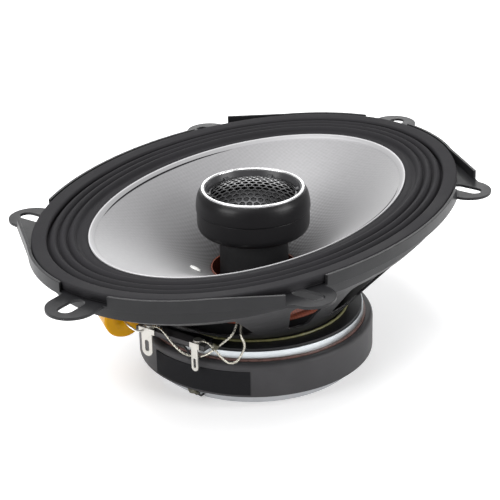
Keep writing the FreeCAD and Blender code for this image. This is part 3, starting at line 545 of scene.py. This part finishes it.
def floor_finish():
    """Pale plain studio floor."""
    colour = (0.92, 0.92, 0.925)
    finish = Finish("studio_floor", colour, 0.75, specular_ior_level=0.1, emission_strength=0.3)
    finish.set("Emission Color", (1.0, 1.0, 1.0, 1.0))
    clouds = finish.grain(160.0, 3.0)
    finish.tint(clouds, colour, shade(colour, 0.985))
    return finish.set("Roughness", 0.7 + clouds * 0.1).material


# ---- operators ----
class PieceOperator:
    """What every operator of this file shares."""

    bl_options = {"REGISTER", "UNDO"}

    def execute(self, context):
        self.build(context.scene)
        return {"FINISHED"}


def dress(finish, *nodes):
    """Gives CAD nodes their finish."""
    for node in nodes:
        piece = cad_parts[node]
        piece.data.materials.clear()
        piece.data.materials.append(finish)


class SPEAKER_OT_finishes(PieceOperator, bpy.types.Operator):
    """Gives every CAD node that stays visible its finish"""

    bl_idname = "speaker.finishes"
    bl_label = "Finishes of the frame"

    def build(self, scene):
        colours = scene.speaker_colours
        black = (0.02, 0.02, 0.021)
        dress(painted("basket_paint", colours.paint), "basket", "terminal_bracket")
        dress(ferrite_finish(), "magnet")
        dress(moulded("boot_rubber", colours.boot, 0.5, 0.3), "magnet_boot")
        dress(tape_finish(), "label_patch")
        dress(metal("bright_zinc", (0.60, 0.635, 0.655), 0.3, (1.0, 1.0, 12.0)), "top_plate",
              "basket_rivets", "post_screw")
        dress(metal("dull_zinc", (0.50, 0.51, 0.53), 0.38, (1.0, 1.0, 9.0)), "magnet_yoke", "tweeter_yoke",
              "tweeter_pole_cap")
        dress(metal("nickel", (0.62, 0.60, 0.57), 0.22), "tweeter_magnet")
        dress(adhesive_finish("magnet_glue", (0.10, 0.07, 0.055)), "rear_magnet_glue", "front_magnet_glue",
              "capacitor_glue")
        dress(moulded("former_film", (0.25, 0.075, 0.045), 0.4, 0.2), "voice_coil_former")
        dress(metal("coil_wire", (0.72, 0.32, 0.17), 0.3, (1.0, 1.0, 20.0)), "voice_coil_winding",
              "tweeter_voice_coil")
        dress(moulded("post_plastic", black, 0.45), "tweeter_post", "spider_seat_ring", "tweeter_frame")
        dress(moulded("terminal_fibre", (0.045, 0.043, 0.044), 0.6, 0.6), "terminal_board")
        dress(metal("tinned_brass", (0.56, 0.545, 0.51), 0.46, (8.0, 1.0, 1.0), 0.35), "positive_blade",
              "negative_blade", "terminal_rivets")
        dress(woven("silk", SILK, 0.5, 0.03), "tweeter_dome")


def cone_depth(diaphragm):
    return CONE_BOX[1].z - diaphragm.cone_wall - CONE_BOX[0].z


def cone_profile(share, diaphragm):
    """The cone's half length, half width and height a share of the way down."""
    half_length, half_width, edge_z = CONE_BOX[1]
    neck = FORMER_BOX[1].x
    depth = cone_depth(diaphragm)
    z = edge_z - depth * share + 4 * diaphragm.cone_swell * share * (1 - share)
    return half_length + share * (neck - half_length), half_width + share * (neck - half_width), z


class SPEAKER_OT_cone(PieceOperator, bpy.types.Operator):
    """Oval woven cone with its glued band and its round neck"""

    bl_idname = "speaker.cone"
    bl_label = "Cone"

    def build(self, scene):
        diaphragm = scene.speaker_diaphragm
        wall = diaphragm.cone_wall
        rows = 60
        lip = diaphragm.cone_band / (CONE_BOX[1].x - FORMER_BOX[1].x)
        top = []
        bottom = []
        for i in range(rows + 1):
            s = (i / rows) ** ROW_CROWDING
            a, b, z = cone_profile(s, diaphragm)
            step = min(1.0, max(0.0, (s - lip * 0.82) / (lip * 0.36)))
            top.append((a, b, z - BAND_STEP * step * (1 - s) ** 2))
            bottom.append((a, b, z - wall))
        outline = top + bottom[::-1]
        finish = cone_finish(scene.speaker_colours)
        piece = make_piece("cone_cloth", *swept(outline, OVAL_AROUND), finish, "woven_cone")
        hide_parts("cone")
        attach(piece, CONE_BODY)


def oval_from(high, outline):
    """Outline of (distance inwards, z) as an oval's, which runs from a box's corner to the cone's."""
    rate = (high.y - CONE_BOX[1].y) / (high.x - CONE_BOX[1].x)
    return swept([(high.x - k, high.y - k * rate, z) for k, z in outline], OVAL_AROUND)


class SPEAKER_OT_rubber_edge(PieceOperator, bpy.types.Operator):
    """Rolled rubber edge between the gasket and the cone"""

    bl_idname = "speaker.rubber_edge"
    bl_label = "Rubber edge"

    def build(self, scene):
        diaphragm = scene.speaker_diaphragm
        high = RUBBER_BOX[1]
        cone_high = CONE_BOX[1]
        rim_z = GASKET_BOX[0].z
        foot = rim_z + diaphragm.roll_foot
        per_roll = 14
        line = [(0.0, rim_z, 0.0), (diaphragm.roll_start * 0.6, rim_z, 0.0),
                (diaphragm.roll_start - 0.5, rim_z + 0.1, 0.0)]
        steps = diaphragm.roll_count * per_roll
        for i in range(steps + 1):
            phase = math.pi * i / per_roll
            height = abs(math.sin(phase)) ** ROLL_FULLNESS * diaphragm.roll_height
            reach = diaphragm.roll_start + diaphragm.roll_width * i / per_roll
            line.append((reach, foot + height, i / steps))
        land = high.x - cone_high.x
        under = cone_high.z - diaphragm.cone_wall - RUBBER_GAP
        last = line[-1]
        for t in (0.25, 0.5, 0.75, 1.0):
            bow = LAND_BOW * math.sin(math.pi * t)
            line.append((last[0] + (land - last[0]) * t, last[1] + (under - last[1]) * t + bow, 1.0))
        fall = under - CONE_BOX[0].z - 4 * diaphragm.cone_swell
        slope = fall / (cone_high.x - FORMER_BOX[1].x)
        line.append((land + diaphragm.cone_band, under - slope * diaphragm.cone_band, 1.0))
        outline, weights = sheet(line, diaphragm.rubber)
        finish = rubbery("butyl_rubber", scene.speaker_colours.rubber)
        piece = make_piece("rolled_edge", *oval_from(high, outline), finish, "surround_rubber")
        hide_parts("surround")
        weigh(piece)


class SPEAKER_OT_gasket(PieceOperator, bpy.types.Operator):
    """Gasket on the flange, rounded along its top edges"""

    bl_idname = "speaker.gasket"
    bl_label = "Gasket"

    def build(self, scene):
        diaphragm = scene.speaker_diaphragm
        low, high = GASKET_BOX
        width = diaphragm.gasket_width
        corners = [(0.0, low.z), (0.0, high.z), (width * 0.3, high.z - 0.05), (width, high.z - 0.35),
                   (width, low.z)]
        soft = diaphragm.gasket_round
        outline = rounded(corners, [0.0, soft, 0.6, soft * 1.3, 0.0], 6)
        finish = rubbery("gasket_rubber", scene.speaker_colours.gasket)
        piece = make_piece("gasket_band", *oval_from(high, outline), finish, "gasket_foam")
        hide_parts("flange_gasket")
        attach(piece, FRAME_BODY)


class SPEAKER_OT_spider(PieceOperator, bpy.types.Operator):
    """Corrugated cloth disc behind the cone"""

    bl_idname = "speaker.spider"
    bl_label = "Spider"

    def build(self, scene):
        diaphragm = scene.speaker_diaphragm
        inner = FORMER_BOX[1].x
        outer = SPIDER_BOX[1].x
        middle = (SPIDER_BOX[0].z + SPIDER_BOX[1].z) / 2 + diaphragm.spider_wall / 2
        start = inner + SPIDER_FLATS[0]
        end = outer - diaphragm.spider_seat - SPIDER_FLATS[1]
        steps = diaphragm.spider_waves * 12
        line = [(inner, middle, 1.0)]
        for i in range(steps + 1):
            t = i / steps
            lift = math.sin(math.tau * diaphragm.spider_waves * t) * diaphragm.spider_wave
            line.append((start + (end - start) * t, middle + lift, 1 - t))
        line.append((outer, middle, 0.0))
        outline, weights = sheet(line, diaphragm.spider_wall)
        around = 192
        finish = woven("spider_cloth", scene.speaker_colours.spider, 0.7, 0.1, contrast=0.4, roughness=0.55)
        piece = make_piece("spider_cloth", *turned(outline, around), finish, "spider_cloth")
        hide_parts("spider")
        weigh(piece)


class SPEAKER_OT_tweeter_cup(PieceOperator, bpy.types.Operator):
    """Tweeter's cup, its upper shell, the bright ring and the sloping bezel"""

    bl_idname = "speaker.tweeter_cup"
    bl_label = "Tweeter cup"

    def build(self, scene):
        tweeter = scene.speaker_tweeter
        finish = moulded("cup_plastic", scene.speaker_colours.cup, 0.36, 0.25, coat=0.08)
        pieces = {"tweeter_housing": self.cup(tweeter, finish), "tweeter_shell": self.shell(tweeter, finish),
                  "trim_ring": self.ring(), "grille_bezel": self.bezel(tweeter)}
        for node, piece in pieces.items():
            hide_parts(node)
            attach(piece, FRAME_BODY)

    def cup(self, tweeter, finish):
        low, high = CUP_BOX
        radius = high.x
        wall = tweeter.wall
        soft = tweeter.cup_round * 1.5
        corners = [(radius - wall, high.z), (radius, high.z), (radius, low.z), (0.6, low.z),
                   (0.6, low.z + wall), (radius - wall, low.z + wall)]
        radii = [0.0, 0.25, soft, 0.0, 0.0, soft * 0.7]
        return turned_piece("tweeter_cup", corners, radii, 12, finish, "cup_plastic")

    def shell(self, tweeter, finish):
        high = SHELL_BOX[1]
        seam = CUP_BOX[1].z
        inner = CUP_BOX[1].x - tweeter.wall - 0.8
        ring = TRIM_BOX[1].x
        top = high.z
        rise = top - seam
        corners = [(inner, seam), (high.x - 0.25, seam), (high.x, seam + 0.3), (high.x, seam + rise * 0.25),
                   (high.x - 0.25, seam + rise * 0.55), (high.x - 0.85, seam + rise * 0.82),
                   (ring + 0.35, top), (ring, top - 0.1), (ring, top - 1.2), (inner, top - 1.2)]
        radii = [0.0, 0.1, 0.15, 1.2, 1.2, 1.2, 0.3, 0.05, 0.0, 0.0]
        return turned_piece("tweeter_upper_shell", corners, radii, 6, finish, "cup_plastic")

    def ring(self):
        low, high = TRIM_BOX
        inner = BEZEL_BOX[1].x
        corners = [(inner, low.z), (high.x, low.z), (high.x, high.z), (inner, high.z - 0.15)]
        chrome = metal("polished_ring", (0.93, 0.93, 0.94), 0.16, wear=0.0)
        return turned_piece("bright_ring", corners, [0.0, 0.0, 0.4, 0.35], 8, chrome, "polished_trim")

    def bezel(self, tweeter):
        low, high = BEZEL_BOX
        mouth = GRILLE_BOX[1].x
        ledge = GRILLE_BOX[0].z
        corners = [(mouth - 0.8, low.z), (high.x, low.z), (high.x, high.z), (high.x - 0.45, high.z),
                   (mouth + 0.15, ledge + 0.25), (mouth, ledge), (mouth - 0.8, ledge)]
        parts = [turned(rounded(corners, [0.0, 0.0, 0.1, 0.25, 0.3, 0.1, 0.1], 5))]
        clip = [(-0.7, ledge + 0.15), (0.75, ledge + 0.15), (0.75, ledge + 1.3), (-0.7, ledge + 0.75)]
        section = rounded(clip, [0.1, 0.1, 0.15, 0.2], 3)
        for i in range(tweeter.clip_count):
            angle = math.tau * (i + 0.2) / tweeter.clip_count
            parts.append(bent_block(angle, mouth - 0.2, 1.9, section))
        finish = moulded("bezel_plastic", (0.03, 0.03, 0.032), 0.34, 0.3, coat=0.15)
        return make_piece("grille_bezel_ring", *joined(*parts), finish, "bezel_plastic")


class SPEAKER_OT_mesh_grille(PieceOperator, bpy.types.Operator):
    """Domed steel mesh with its hexagonal pattern of holes"""

    bl_idname = "speaker.mesh_grille"
    bl_label = "Mesh grille"

    def build(self, scene):
        tweeter = scene.speaker_tweeter
        low, high = GRILLE_BOX
        radius = high.x
        height = high.z - low.z
        ball = (radius ** 2 + height ** 2) / (2 * height)
        pitch = tweeter.hole_pitch
        hole = (pitch - tweeter.web) / 2
        cell = pitch / math.sqrt(3)
        mesh = bmesh.new()
        reach = int(radius / pitch) + 2
        for row in range(-reach, reach + 1):
            for column in range(-reach, reach + 1):
                x = (column + row / 2) * pitch
                y = row * pitch * math.sqrt(3) / 2
                if math.hypot(x, y) < radius + pitch * 0.2:
                    self.cell(mesh, x, y, cell, hole)
        bmesh.ops.remove_doubles(mesh, verts=mesh.verts, dist=0.02)
        for vert in mesh.verts:
            flat = math.hypot(vert.co.x, vert.co.y)
            if flat > radius:
                vert.co.x *= radius / flat
                vert.co.y *= radius / flat
                flat = radius
            drop = ball - math.sqrt(max(ball * ball - flat * flat, 0.0))
            vert.co.z = high.z - drop
        points = [tuple(v.co) for v in mesh.verts]
        mesh.verts.index_update()
        faces = [tuple(v.index for v in face.verts) for face in mesh.faces if face.calc_area() > 1e-3]
        mesh.free()
        finish = metal("mesh_steel", (0.075, 0.075, 0.078), 0.24, wear=0.1)
        piece = make_piece("steel_mesh", points, faces, finish, "mesh_steel", smooth=False)
        solid = piece.modifiers.new("thickness", "SOLIDIFY")
        solid.thickness = tweeter.mesh_wall * MM
        solid.offset = -1
        soft = piece.modifiers.new("edges", "BEVEL")
        soft.width = MESH_EDGE * MM
        soft.segments = 2
        hem = radius - 0.9
        edge = [(hem, low.z - 0.1), (radius, low.z), (radius, low.z + 0.45), (hem, low.z + 0.6)]
        rim = rounded(edge, [0.1, 0.1, 0.15, 0.15], 3)
        band = make_piece("steel_mesh_rim", *turned(rim, 160), finish, "mesh_steel")
        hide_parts("mesh_grille")
        for part in (piece, band):
            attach(part, FRAME_BODY)

    def cell(self, mesh, x, y, cell, hole):
        """One hexagon of metal round one hole."""
        outer = []
        inner = []
        for k in range(12):
            a = math.tau * k / 12 + math.pi / 6
            reach = cell if k % 2 == 0 else cell * math.cos(math.pi / 6)
            outer.append(mesh.verts.new((x + reach * math.cos(a), y + reach * math.sin(a), 0)))
            bore = hole * (1.06 if k % 2 == 0 else 0.99)
            inner.append(mesh.verts.new((x + bore * math.cos(a), y + bore * math.sin(a), 0)))
        for k in range(12):
            nxt = (k + 1) % 12
            mesh.faces.new((outer[k], outer[nxt], inner[nxt], inner[k]))


class SPEAKER_OT_tweeter_roll(PieceOperator, bpy.types.Operator):
    """Half roll round the tweeter's dome"""

    bl_idname = "speaker.tweeter_roll"
    bl_label = "Tweeter roll"

    def build(self, scene):
        low, high = low_high("tweeter_surround")
        outer = high.x
        inner = low_high("tweeter_dome")[1].x + 0.3
        steps = 12
        line = []
        for i in range(steps + 1):
            t = i / steps
            line.append((outer + (inner - outer) * t, low.z + math.sin(math.pi * t) * SILK_RISE, t))
        outline, weights = sheet(line, -SILK_WALL)
        around = 128
        finish = woven("silk_roll", SILK, 0.5, 0.03)
        piece = make_piece("silk_roll", *turned(outline, around), finish, "silk_dome")
        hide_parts("tweeter_surround")
        weigh(piece)


class SPEAKER_OT_capacitor(PieceOperator, bpy.types.Operator):
    """Wrapped film capacitor glued beside the magnet"""

    bl_idname = "speaker.capacitor"
    bl_label = "Capacitor"

    def build(self, scene):
        wires = scene.speaker_wires
        low, high = CAPACITOR_BOX
        radius = (high.z - low.z) / 2
        half = wires.capacitor_length / 2
        corners = [(0.05, -half + 0.5), (radius * 0.72, -half + 0.15), (radius, -half + 0.1),
                   (radius, half - 0.1), (radius * 0.72, half - 0.15), (0.05, half - 0.5)]
        outline = rounded(corners, [0.0, 0.8, 1.5, 1.5, 0.8, 0.0], 8)
        outline += [(0.01, half - 0.6), (0.01, -half + 0.6)]
        points, faces = turned(outline, 96)
        axis = Vector((math.cos(wires.capacitor_turn), math.sin(wires.capacitor_turn), 0))
        turn = axis.to_track_quat("Z", "Y").to_matrix()
        centre = (low + high) / 2
        moved = []
        for p in points:
            here = Vector(p)
            squeeze = 1 + 0.02 * noise.noise(here * 0.25)
            here.x *= squeeze
            here.y *= squeeze * 0.985
            moved.append(tuple(centre + turn @ here))
        finish = capacitor_finish(scene.speaker_colours)
        piece = make_piece("film_capacitor", moved, faces, finish, "capacitor_wrap")
        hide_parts("capacitor")
        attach(piece, FRAME_BODY)


# ---- leads: the same points as the frame's, in millimetres ----
POSITIVE_ROUTE = [
    (-45.6, 13.38, 26.95), (-46.4, 9.8, 27.7), (-48.4, 5.6, 27.1), (-49.0, 1.6, 23.8),
    (-48.0, -2.4, 20.7), (-46.2, -6.8, 20.2), (-46.2, -11.2, 22.4), (-45.6, -15.0, 26.0),
    (-44.9, -18.4, 29.2), (-44.0, -21.6, 32.4), (-41.0, -20.6, 33.9)]
NEGATIVE_ROUTE = [
    (-45.6, -8.42, 26.95), (-46.2, -11.6, 27.9), (-47.5, -14.8, 27.2), (-46.0, -17.2, 23.2),
    (-44.2, -19.2, 20.2), (-42.4, -21.6, 20.6), (-41.6, -23.4, 24.2), (-41.8, -25.2, 28.2),
    (-42.6, -23.6, 32.4), (-39.7, -21.9, 33.5)]
POSITIVE_INNER = [(-35.2, -15.6, 36.8), (-31.0, -5.4, 37.2), (-27.4, 6.4, 36.6)]
NEGATIVE_INNER = [(-33.0, -17.4, 36.6), (-27.8, -13.6, 38.2)]
FRONT_WIRE = [(-50.0, 22.6, 27.3), (-50.8, 19.4, 26.5), (-49.9, 16.6, 25.3), (-47.91, 16.6, 25.3)]
REAR_WIRE = [
    (-33.6, 46.1, 27.2), (-31.2, 46.4, 24.2), (-30.6, 40.6, 21.5), (-34.4, 34.4, 21.3),
    (-37.2, 28.3, 22.2), (-38.9, 23.4, 22.1)]
PAD_SHARE = 0.82  # how far down the cone the pads sit, edge to neck
PAD_ANGLES = (157.5, 202.5)
BOOT_DAB = (-43.9, -2.8, 4.0)  # where the tweeter leads turn up the boot
CROSSING_DAB = (-46.3, -14.8, 26.6)  # where the braids cross


def smooth_line(points, per_run=10):
    """Points along the NURBS spline whose control points are the route's."""
    curve = bpy.data.curves.new("route", "CURVE")
    curve.dimensions = "3D"
    spline = curve.splines.new("NURBS")
    spline.points.add(len(points) - 1)
    for target, point in zip(spline.points, points):
        target.co = (*point, 1.0)
    spline.order_u = 3
    spline.use_endpoint_u = True
    curve.resolution_u = per_run
    holder = linked("route", curve)
    mesh = bpy.data.meshes.new_from_object(holder)
    line = [v.co.copy() for v in mesh.vertices]
    bpy.data.objects.remove(holder)
    bpy.data.curves.remove(curve)
    bpy.data.meshes.remove(mesh)
    return line


def evenly(line, gap):
    """The same line with its points an even gap apart."""
    lengths = [0.0]
    for a, b in zip(line, line[1:]):
        lengths.append(lengths[-1] + (b - a).length)
    count = max(4, int(lengths[-1] / gap))
    out = []
    k = 0
    for i in range(count + 1):
        goal = lengths[-1] * i / count
        while k < len(line) - 2 and lengths[k + 1] < goal:
            k += 1
        t = (goal - lengths[k]) / max(lengths[k + 1] - lengths[k], 1e-9)
        out.append(line[k].lerp(line[k + 1], min(t, 1.0)))
    return out


def frames_along(line):
    """Two directions across the line at each point, carried along without twist."""
    tangents = []
    for i in range(len(line)):
        tangents.append((line[min(i + 1, len(line) - 1)] - line[max(i - 1, 0)]).normalized())
    side = tangents[0].orthogonal().normalized()
    frames = []
    for tangent in tangents:
        side = (side - tangent * side.dot(tangent)).normalized()
        frames.append((side, tangent.cross(side)))
    return frames


def tube_along(line, radius, sides=8):
    """Round tube with closed ends along a line of points."""
    points = []
    for here, (side, other) in zip(line, frames_along(line)):
        for j in range(sides):
            a = math.tau * j / sides
            points.append(tuple(here + side * (radius * math.cos(a)) + other * (radius * math.sin(a))))
    faces = grid_faces(len(line), sides, wrap_rows=False)
    faces.append(tuple(range(sides)))
    faces.append(tuple(range((len(line) - 1) * sides, len(line) * sides)))
    return points, faces


def braid_along(line, wires):
    """Braided lead: strands laid round a thin core."""
    fine = evenly(line, BRAID_STEP)
    frames = frames_along(fine)
    middle = wires.braid - wires.strand
    parts = [tube_along(fine[::4], middle * 0.5, 6)]
    step = (fine[1] - fine[0]).length
    for k in range(wires.strands):
        strand = []
        for i, (here, (side, other)) in enumerate(zip(fine, frames)):
            a = math.tau * (i * step / wires.lay + k / wires.strands)
            strand.append(here + side * (middle * math.cos(a)) + other * (middle * math.sin(a)))
        parts.append(tube_along(strand, wires.strand, 7))
    return joined(*parts)


def pad_place(angle, diaphragm):
    """Where a braided lead meets the cone's face, and the face's normal."""
    a, b, z = cone_profile(PAD_SHARE, diaphragm)
    turn = math.radians(angle)
    radius = 1 / math.hypot(math.cos(turn) / a, math.sin(turn) / b)
    fall = cone_depth(diaphragm) - 4 * diaphragm.cone_swell * (1 - 2 * PAD_SHARE)
    slope = fall / (CONE_BOX[1].x - FORMER_BOX[1].x)
    out = Vector((math.cos(turn), math.sin(turn), 0))
    return out * radius + Vector((0, 0, z)), (Vector((0, 0, 1)) - out * slope).normalized()


class SPEAKER_OT_leads(PieceOperator, bpy.types.Operator):
    """Braided leads, the capacitor's wires and the tweeter's insulated leads"""

    bl_idname = "speaker.leads"
    bl_label = "Leads"

    def build(self, scene):
        wires = scene.speaker_wires
        braid = metal("braid", (0.60, 0.575, 0.50), 0.24, wear=0.9)
        tin = metal("tinned_wire", (0.72, 0.71, 0.68), 0.3, wear=0.2)
        for name, route in (("positive_lead", POSITIVE_ROUTE), ("negative_lead", NEGATIVE_ROUTE)):
            piece = make_piece(name + "_braid", *braid_along(smooth_line(route), wires), braid, "braid")
            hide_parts(name)
            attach(piece, FRAME_BODY)
        self.inner(scene, "positive_tinsel_lead", POSITIVE_ROUTE, POSITIVE_INNER, PAD_ANGLES[0], braid)
        self.inner(scene, "negative_tinsel_lead", NEGATIVE_ROUTE, NEGATIVE_INNER, PAD_ANGLES[1], braid)
        low, high = CAPACITOR_BOX
        axis = Vector((math.cos(wires.capacitor_turn), math.sin(wires.capacitor_turn), 0))
        ends = (("capacitor_front_lead", FRONT_WIRE, 1), ("capacitor_rear_lead", REAR_WIRE, -1))
        for name, route, side in ends:
            start = (low + high) / 2 + axis * (side * (wires.capacitor_length / 2 - 0.4))
            line = evenly(smooth_line([tuple(start)] + route), WIRE_STEP)
            piece = make_piece(name + "_wire", *tube_along(line, wires.wire, 12), tin, "tinned_brass")
            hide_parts(name)
            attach(piece, FRAME_BODY)
        dress(moulded("lead_insulation", (0.02, 0.02, 0.02), 0.45, 0.2), "tweeter_lead_a", "tweeter_lead_b")

    def inner(self, scene, name, outer, middle, angle, finish):
        start = Vector(outer[-1])
        on = (start - Vector(outer[-2])).normalized()
        place, normal = pad_place(angle, scene.speaker_diaphragm)
        route = [start, start + on * 3.2] + [Vector(p) for p in middle]
        route += [place - normal * 5.2, place - normal * 0.9]
        line = evenly(smooth_line([tuple(p) for p in route]), BEND_STEP)
        piece = make_piece(name + "_braid", *braid_along(line, scene.speaker_wires), finish, "braid")
        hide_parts(name)
        weigh(piece)


class SPEAKER_OT_adhesive(PieceOperator, bpy.types.Operator):
    """Bead of sealant round the basket's foot, dabs on the leads and pads on the cone"""

    bl_idname = "speaker.adhesive"
    bl_label = "Adhesive"

    def build(self, scene):
        diaphragm = scene.speaker_diaphragm
        colours = scene.speaker_colours
        sealant = adhesive_finish("sealant", colours.sealant, 0.45, 0.15)
        self.bead(sealant)
        self.dabs(adhesive_finish("lead_sealant", (0.055, 0.05, 0.026), 0.4, 0.15))
        self.pads(diaphragm)

    def bead(self, sealant):
        low, high = low_high("basket_seam_bead")
        section = (high.z - low.z) / 2
        ring = high.x - section
        around = 720
        sides = 10
        points = []
        for i in range(around):
            a = math.tau * i / around
            swell = section * (1.1 + 0.35 * noise.noise(Vector((math.cos(a), math.sin(a), 0)) * 14.0))
            wander = 0.12 * noise.noise(Vector((math.cos(a), math.sin(a), 3.0)) * 9.0)
            for j in range(sides):
                b = math.tau * j / sides
                r = ring + wander + swell * math.cos(b)
                z = low.z + section * 0.9 + swell * math.sin(b)
                points.append((r * math.cos(a), r * math.sin(a), z))
        piece = make_piece("sealant_bead", points, grid_faces(around, sides), sealant, "sealant")
        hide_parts("basket_seam_bead")
        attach(piece, FRAME_BODY)

    def dabs(self, sealant):
        parts = [lump(BOOT_DAB, (1.2, 2.2, 1.1), seed=2.0, roughness=0.3),
                 lump(CROSSING_DAB, (1.1, 1.5, 1.4), seed=7.0, roughness=0.4)]
        piece = make_piece("lead_sealant", *joined(*parts), sealant, "sealant")
        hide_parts("lead_glue_blob")
        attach(piece, FRAME_BODY)

    def pads(self, diaphragm):
        parts = []
        for k, angle in enumerate(PAD_ANGLES):
            place, normal = pad_place(angle, diaphragm)
            parts.append(lump(place + normal * 0.1, (2.6, 2.0, 0.75), normal, 0.35, 3.0 + k))
            parts.append(lump(place - normal * 1.1, (2.0, 1.7, 0.8), normal, 0.3, 5.0 + k))
        finish = adhesive_finish("lead_glue", (0.72, 0.72, 0.70), 0.3, 0.1)
        piece = make_piece("lead_pads", *joined(*parts), finish, "lead_glue")
        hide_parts("cone_lead_pads")
        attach(piece, CONE_BODY)


# ---- stage: in metres, apart from the camera's lengths ----
FLOOR_REACH = 6.0
FLOOR_LEVEL = -0.0003
SKY_STRENGTH = 0.55
LAMP_AIM = (0, 0, 0.04)
LAMPS = (  # name, place, width, power in watts
    ("overhead_softbox", (-0.25, 0.15, 1.5), 1.5, 30.0),
    ("left_softbox", (-1.5, 0.5, 0.75), 0.9, 14.0),
    ("right_softbox", (0.35, -1.5, 0.7), 0.9, 16.0),
    ("back_strip", (1.3, 0.9, 0.5), 0.8, 5.0))
CAMERA_ANGLES = (215.705, 24.337, -1.317)  # azimuth, elevation and roll in degrees
CAMERA_DISTANCE = 613.124  # from the point on the Z axis that it is set out from
CAMERA_AIM = 45.0  # height of that point
CAMERA_SHIFT = (1.507, 1.585)  # to the left and down, as the camera sees it
CAMERA_LENS = 116.93  # focal length


class SPEAKER_OT_stage(PieceOperator, bpy.types.Operator):
    """Floor, soft lights and the camera"""

    bl_idname = "speaker.stage"
    bl_label = "Stage"

    def build(self, scene):
        far = FLOOR_REACH
        corners = [(x, y, FLOOR_LEVEL) for x, y in ((-far, -far), (far, -far), (far, far), (-far, far))]
        floor_mesh = bpy.data.meshes.new("floor")
        floor_mesh.from_pydata(corners, [], [(0, 1, 2, 3)])
        floor_mesh.materials.append(floor_finish())
        floor = linked("floor", floor_mesh)
        scene.view_settings.view_transform = "Standard"
        self.world(scene)
        for lamp in LAMPS:
            self.lamp(*lamp)
        self.camera(scene)

    def world(self, scene):
        world = bpy.data.worlds.new("studio")
        scene.world = world
        world.use_nodes = True
        background = world.node_tree.nodes["Background"]
        background.inputs["Color"].default_value = (1.0, 1.0, 1.0, 1.0)
        background.inputs["Strength"].default_value = SKY_STRENGTH

    def lamp(self, name, place, size, power):
        light = bpy.data.lights.new(name, "AREA")
        light.shape = "SQUARE"
        light.size = size
        light.energy = power
        holder = linked(name, light)
        holder.location = place
        aim = Vector(LAMP_AIM) - Vector(place)
        holder.rotation_euler = aim.to_track_quat("-Z", "Y").to_euler()

    def camera(self, scene):
        azimuth, elevation, roll = (math.radians(a) for a in CAMERA_ANGLES)
        back = Vector((math.cos(elevation) * math.cos(azimuth), math.cos(elevation) * math.sin(azimuth),
                       math.sin(elevation)))
        level = Vector((0, 0, 1)).cross(back).normalized()
        right = level * math.cos(roll) + back.cross(level) * math.sin(roll)
        up = back.cross(right)
        aside, above = CAMERA_SHIFT
        place = Vector((0, 0, CAMERA_AIM)) + back * CAMERA_DISTANCE - right * aside - up * above
        lens = bpy.data.cameras.new("camera")
        lens.lens = CAMERA_LENS
        lens.sensor_width = 36.0
        lens.clip_start = 0.01
        lens.clip_end = 50.0
        holder = linked("camera", lens)
        turn = Matrix((right, up, back)).transposed().to_4x4()
        holder.matrix_world = Matrix.Translation(place * MM) @ turn
        scene.camera = holder


# ---- panel and registration ----
OPERATORS = (
    SPEAKER_OT_stage, SPEAKER_OT_finishes, SPEAKER_OT_cone, SPEAKER_OT_rubber_edge, SPEAKER_OT_gasket,
    SPEAKER_OT_spider, SPEAKER_OT_tweeter_cup, SPEAKER_OT_mesh_grille, SPEAKER_OT_tweeter_roll,
    SPEAKER_OT_capacitor, SPEAKER_OT_leads, SPEAKER_OT_adhesive)
GROUPS = (
    ("speaker_diaphragm", SpeakerDiaphragmSizes), ("speaker_tweeter", SpeakerTweeterSizes),
    ("speaker_wires", SpeakerWireSizes), ("speaker_colours", SpeakerColours))


class SPEAKER_PT_panel(bpy.types.Panel):
    """Sidebar buttons that build the speaker's pieces, and their sizes and colours"""

    bl_label = "Speaker"
    bl_space_type = "VIEW_3D"
    bl_region_type = "UI"
    bl_category = "Speaker"

    def draw(self, context):
        for operator in OPERATORS:
            self.layout.operator(operator.bl_idname)
        for name, group in GROUPS:
            box = self.layout.box()
            for prop in group.__annotations__:
                box.prop(getattr(context.scene, name), prop)


def register():
    for name, group in GROUPS:
        bpy.utils.register_class(group)
        setattr(bpy.types.Scene, name, PointerProperty(type=group))
    for operator in OPERATORS:
        bpy.utils.register_class(operator)
    bpy.utils.register_class(SPEAKER_PT_panel)


def unregister():
    bpy.utils.unregister_class(SPEAKER_PT_panel)
    for operator in reversed(OPERATORS):
        bpy.utils.unregister_class(operator)
    for name, group in GROUPS:
        delattr(bpy.types.Scene, name)
        bpy.utils.unregister_class(group)


def main():
    register()
    for operator in OPERATORS:
        group, name = operator.bl_idname.split(".")
        getattr(getattr(bpy.ops, group), name)()


if __name__ == "__main__":
    main()
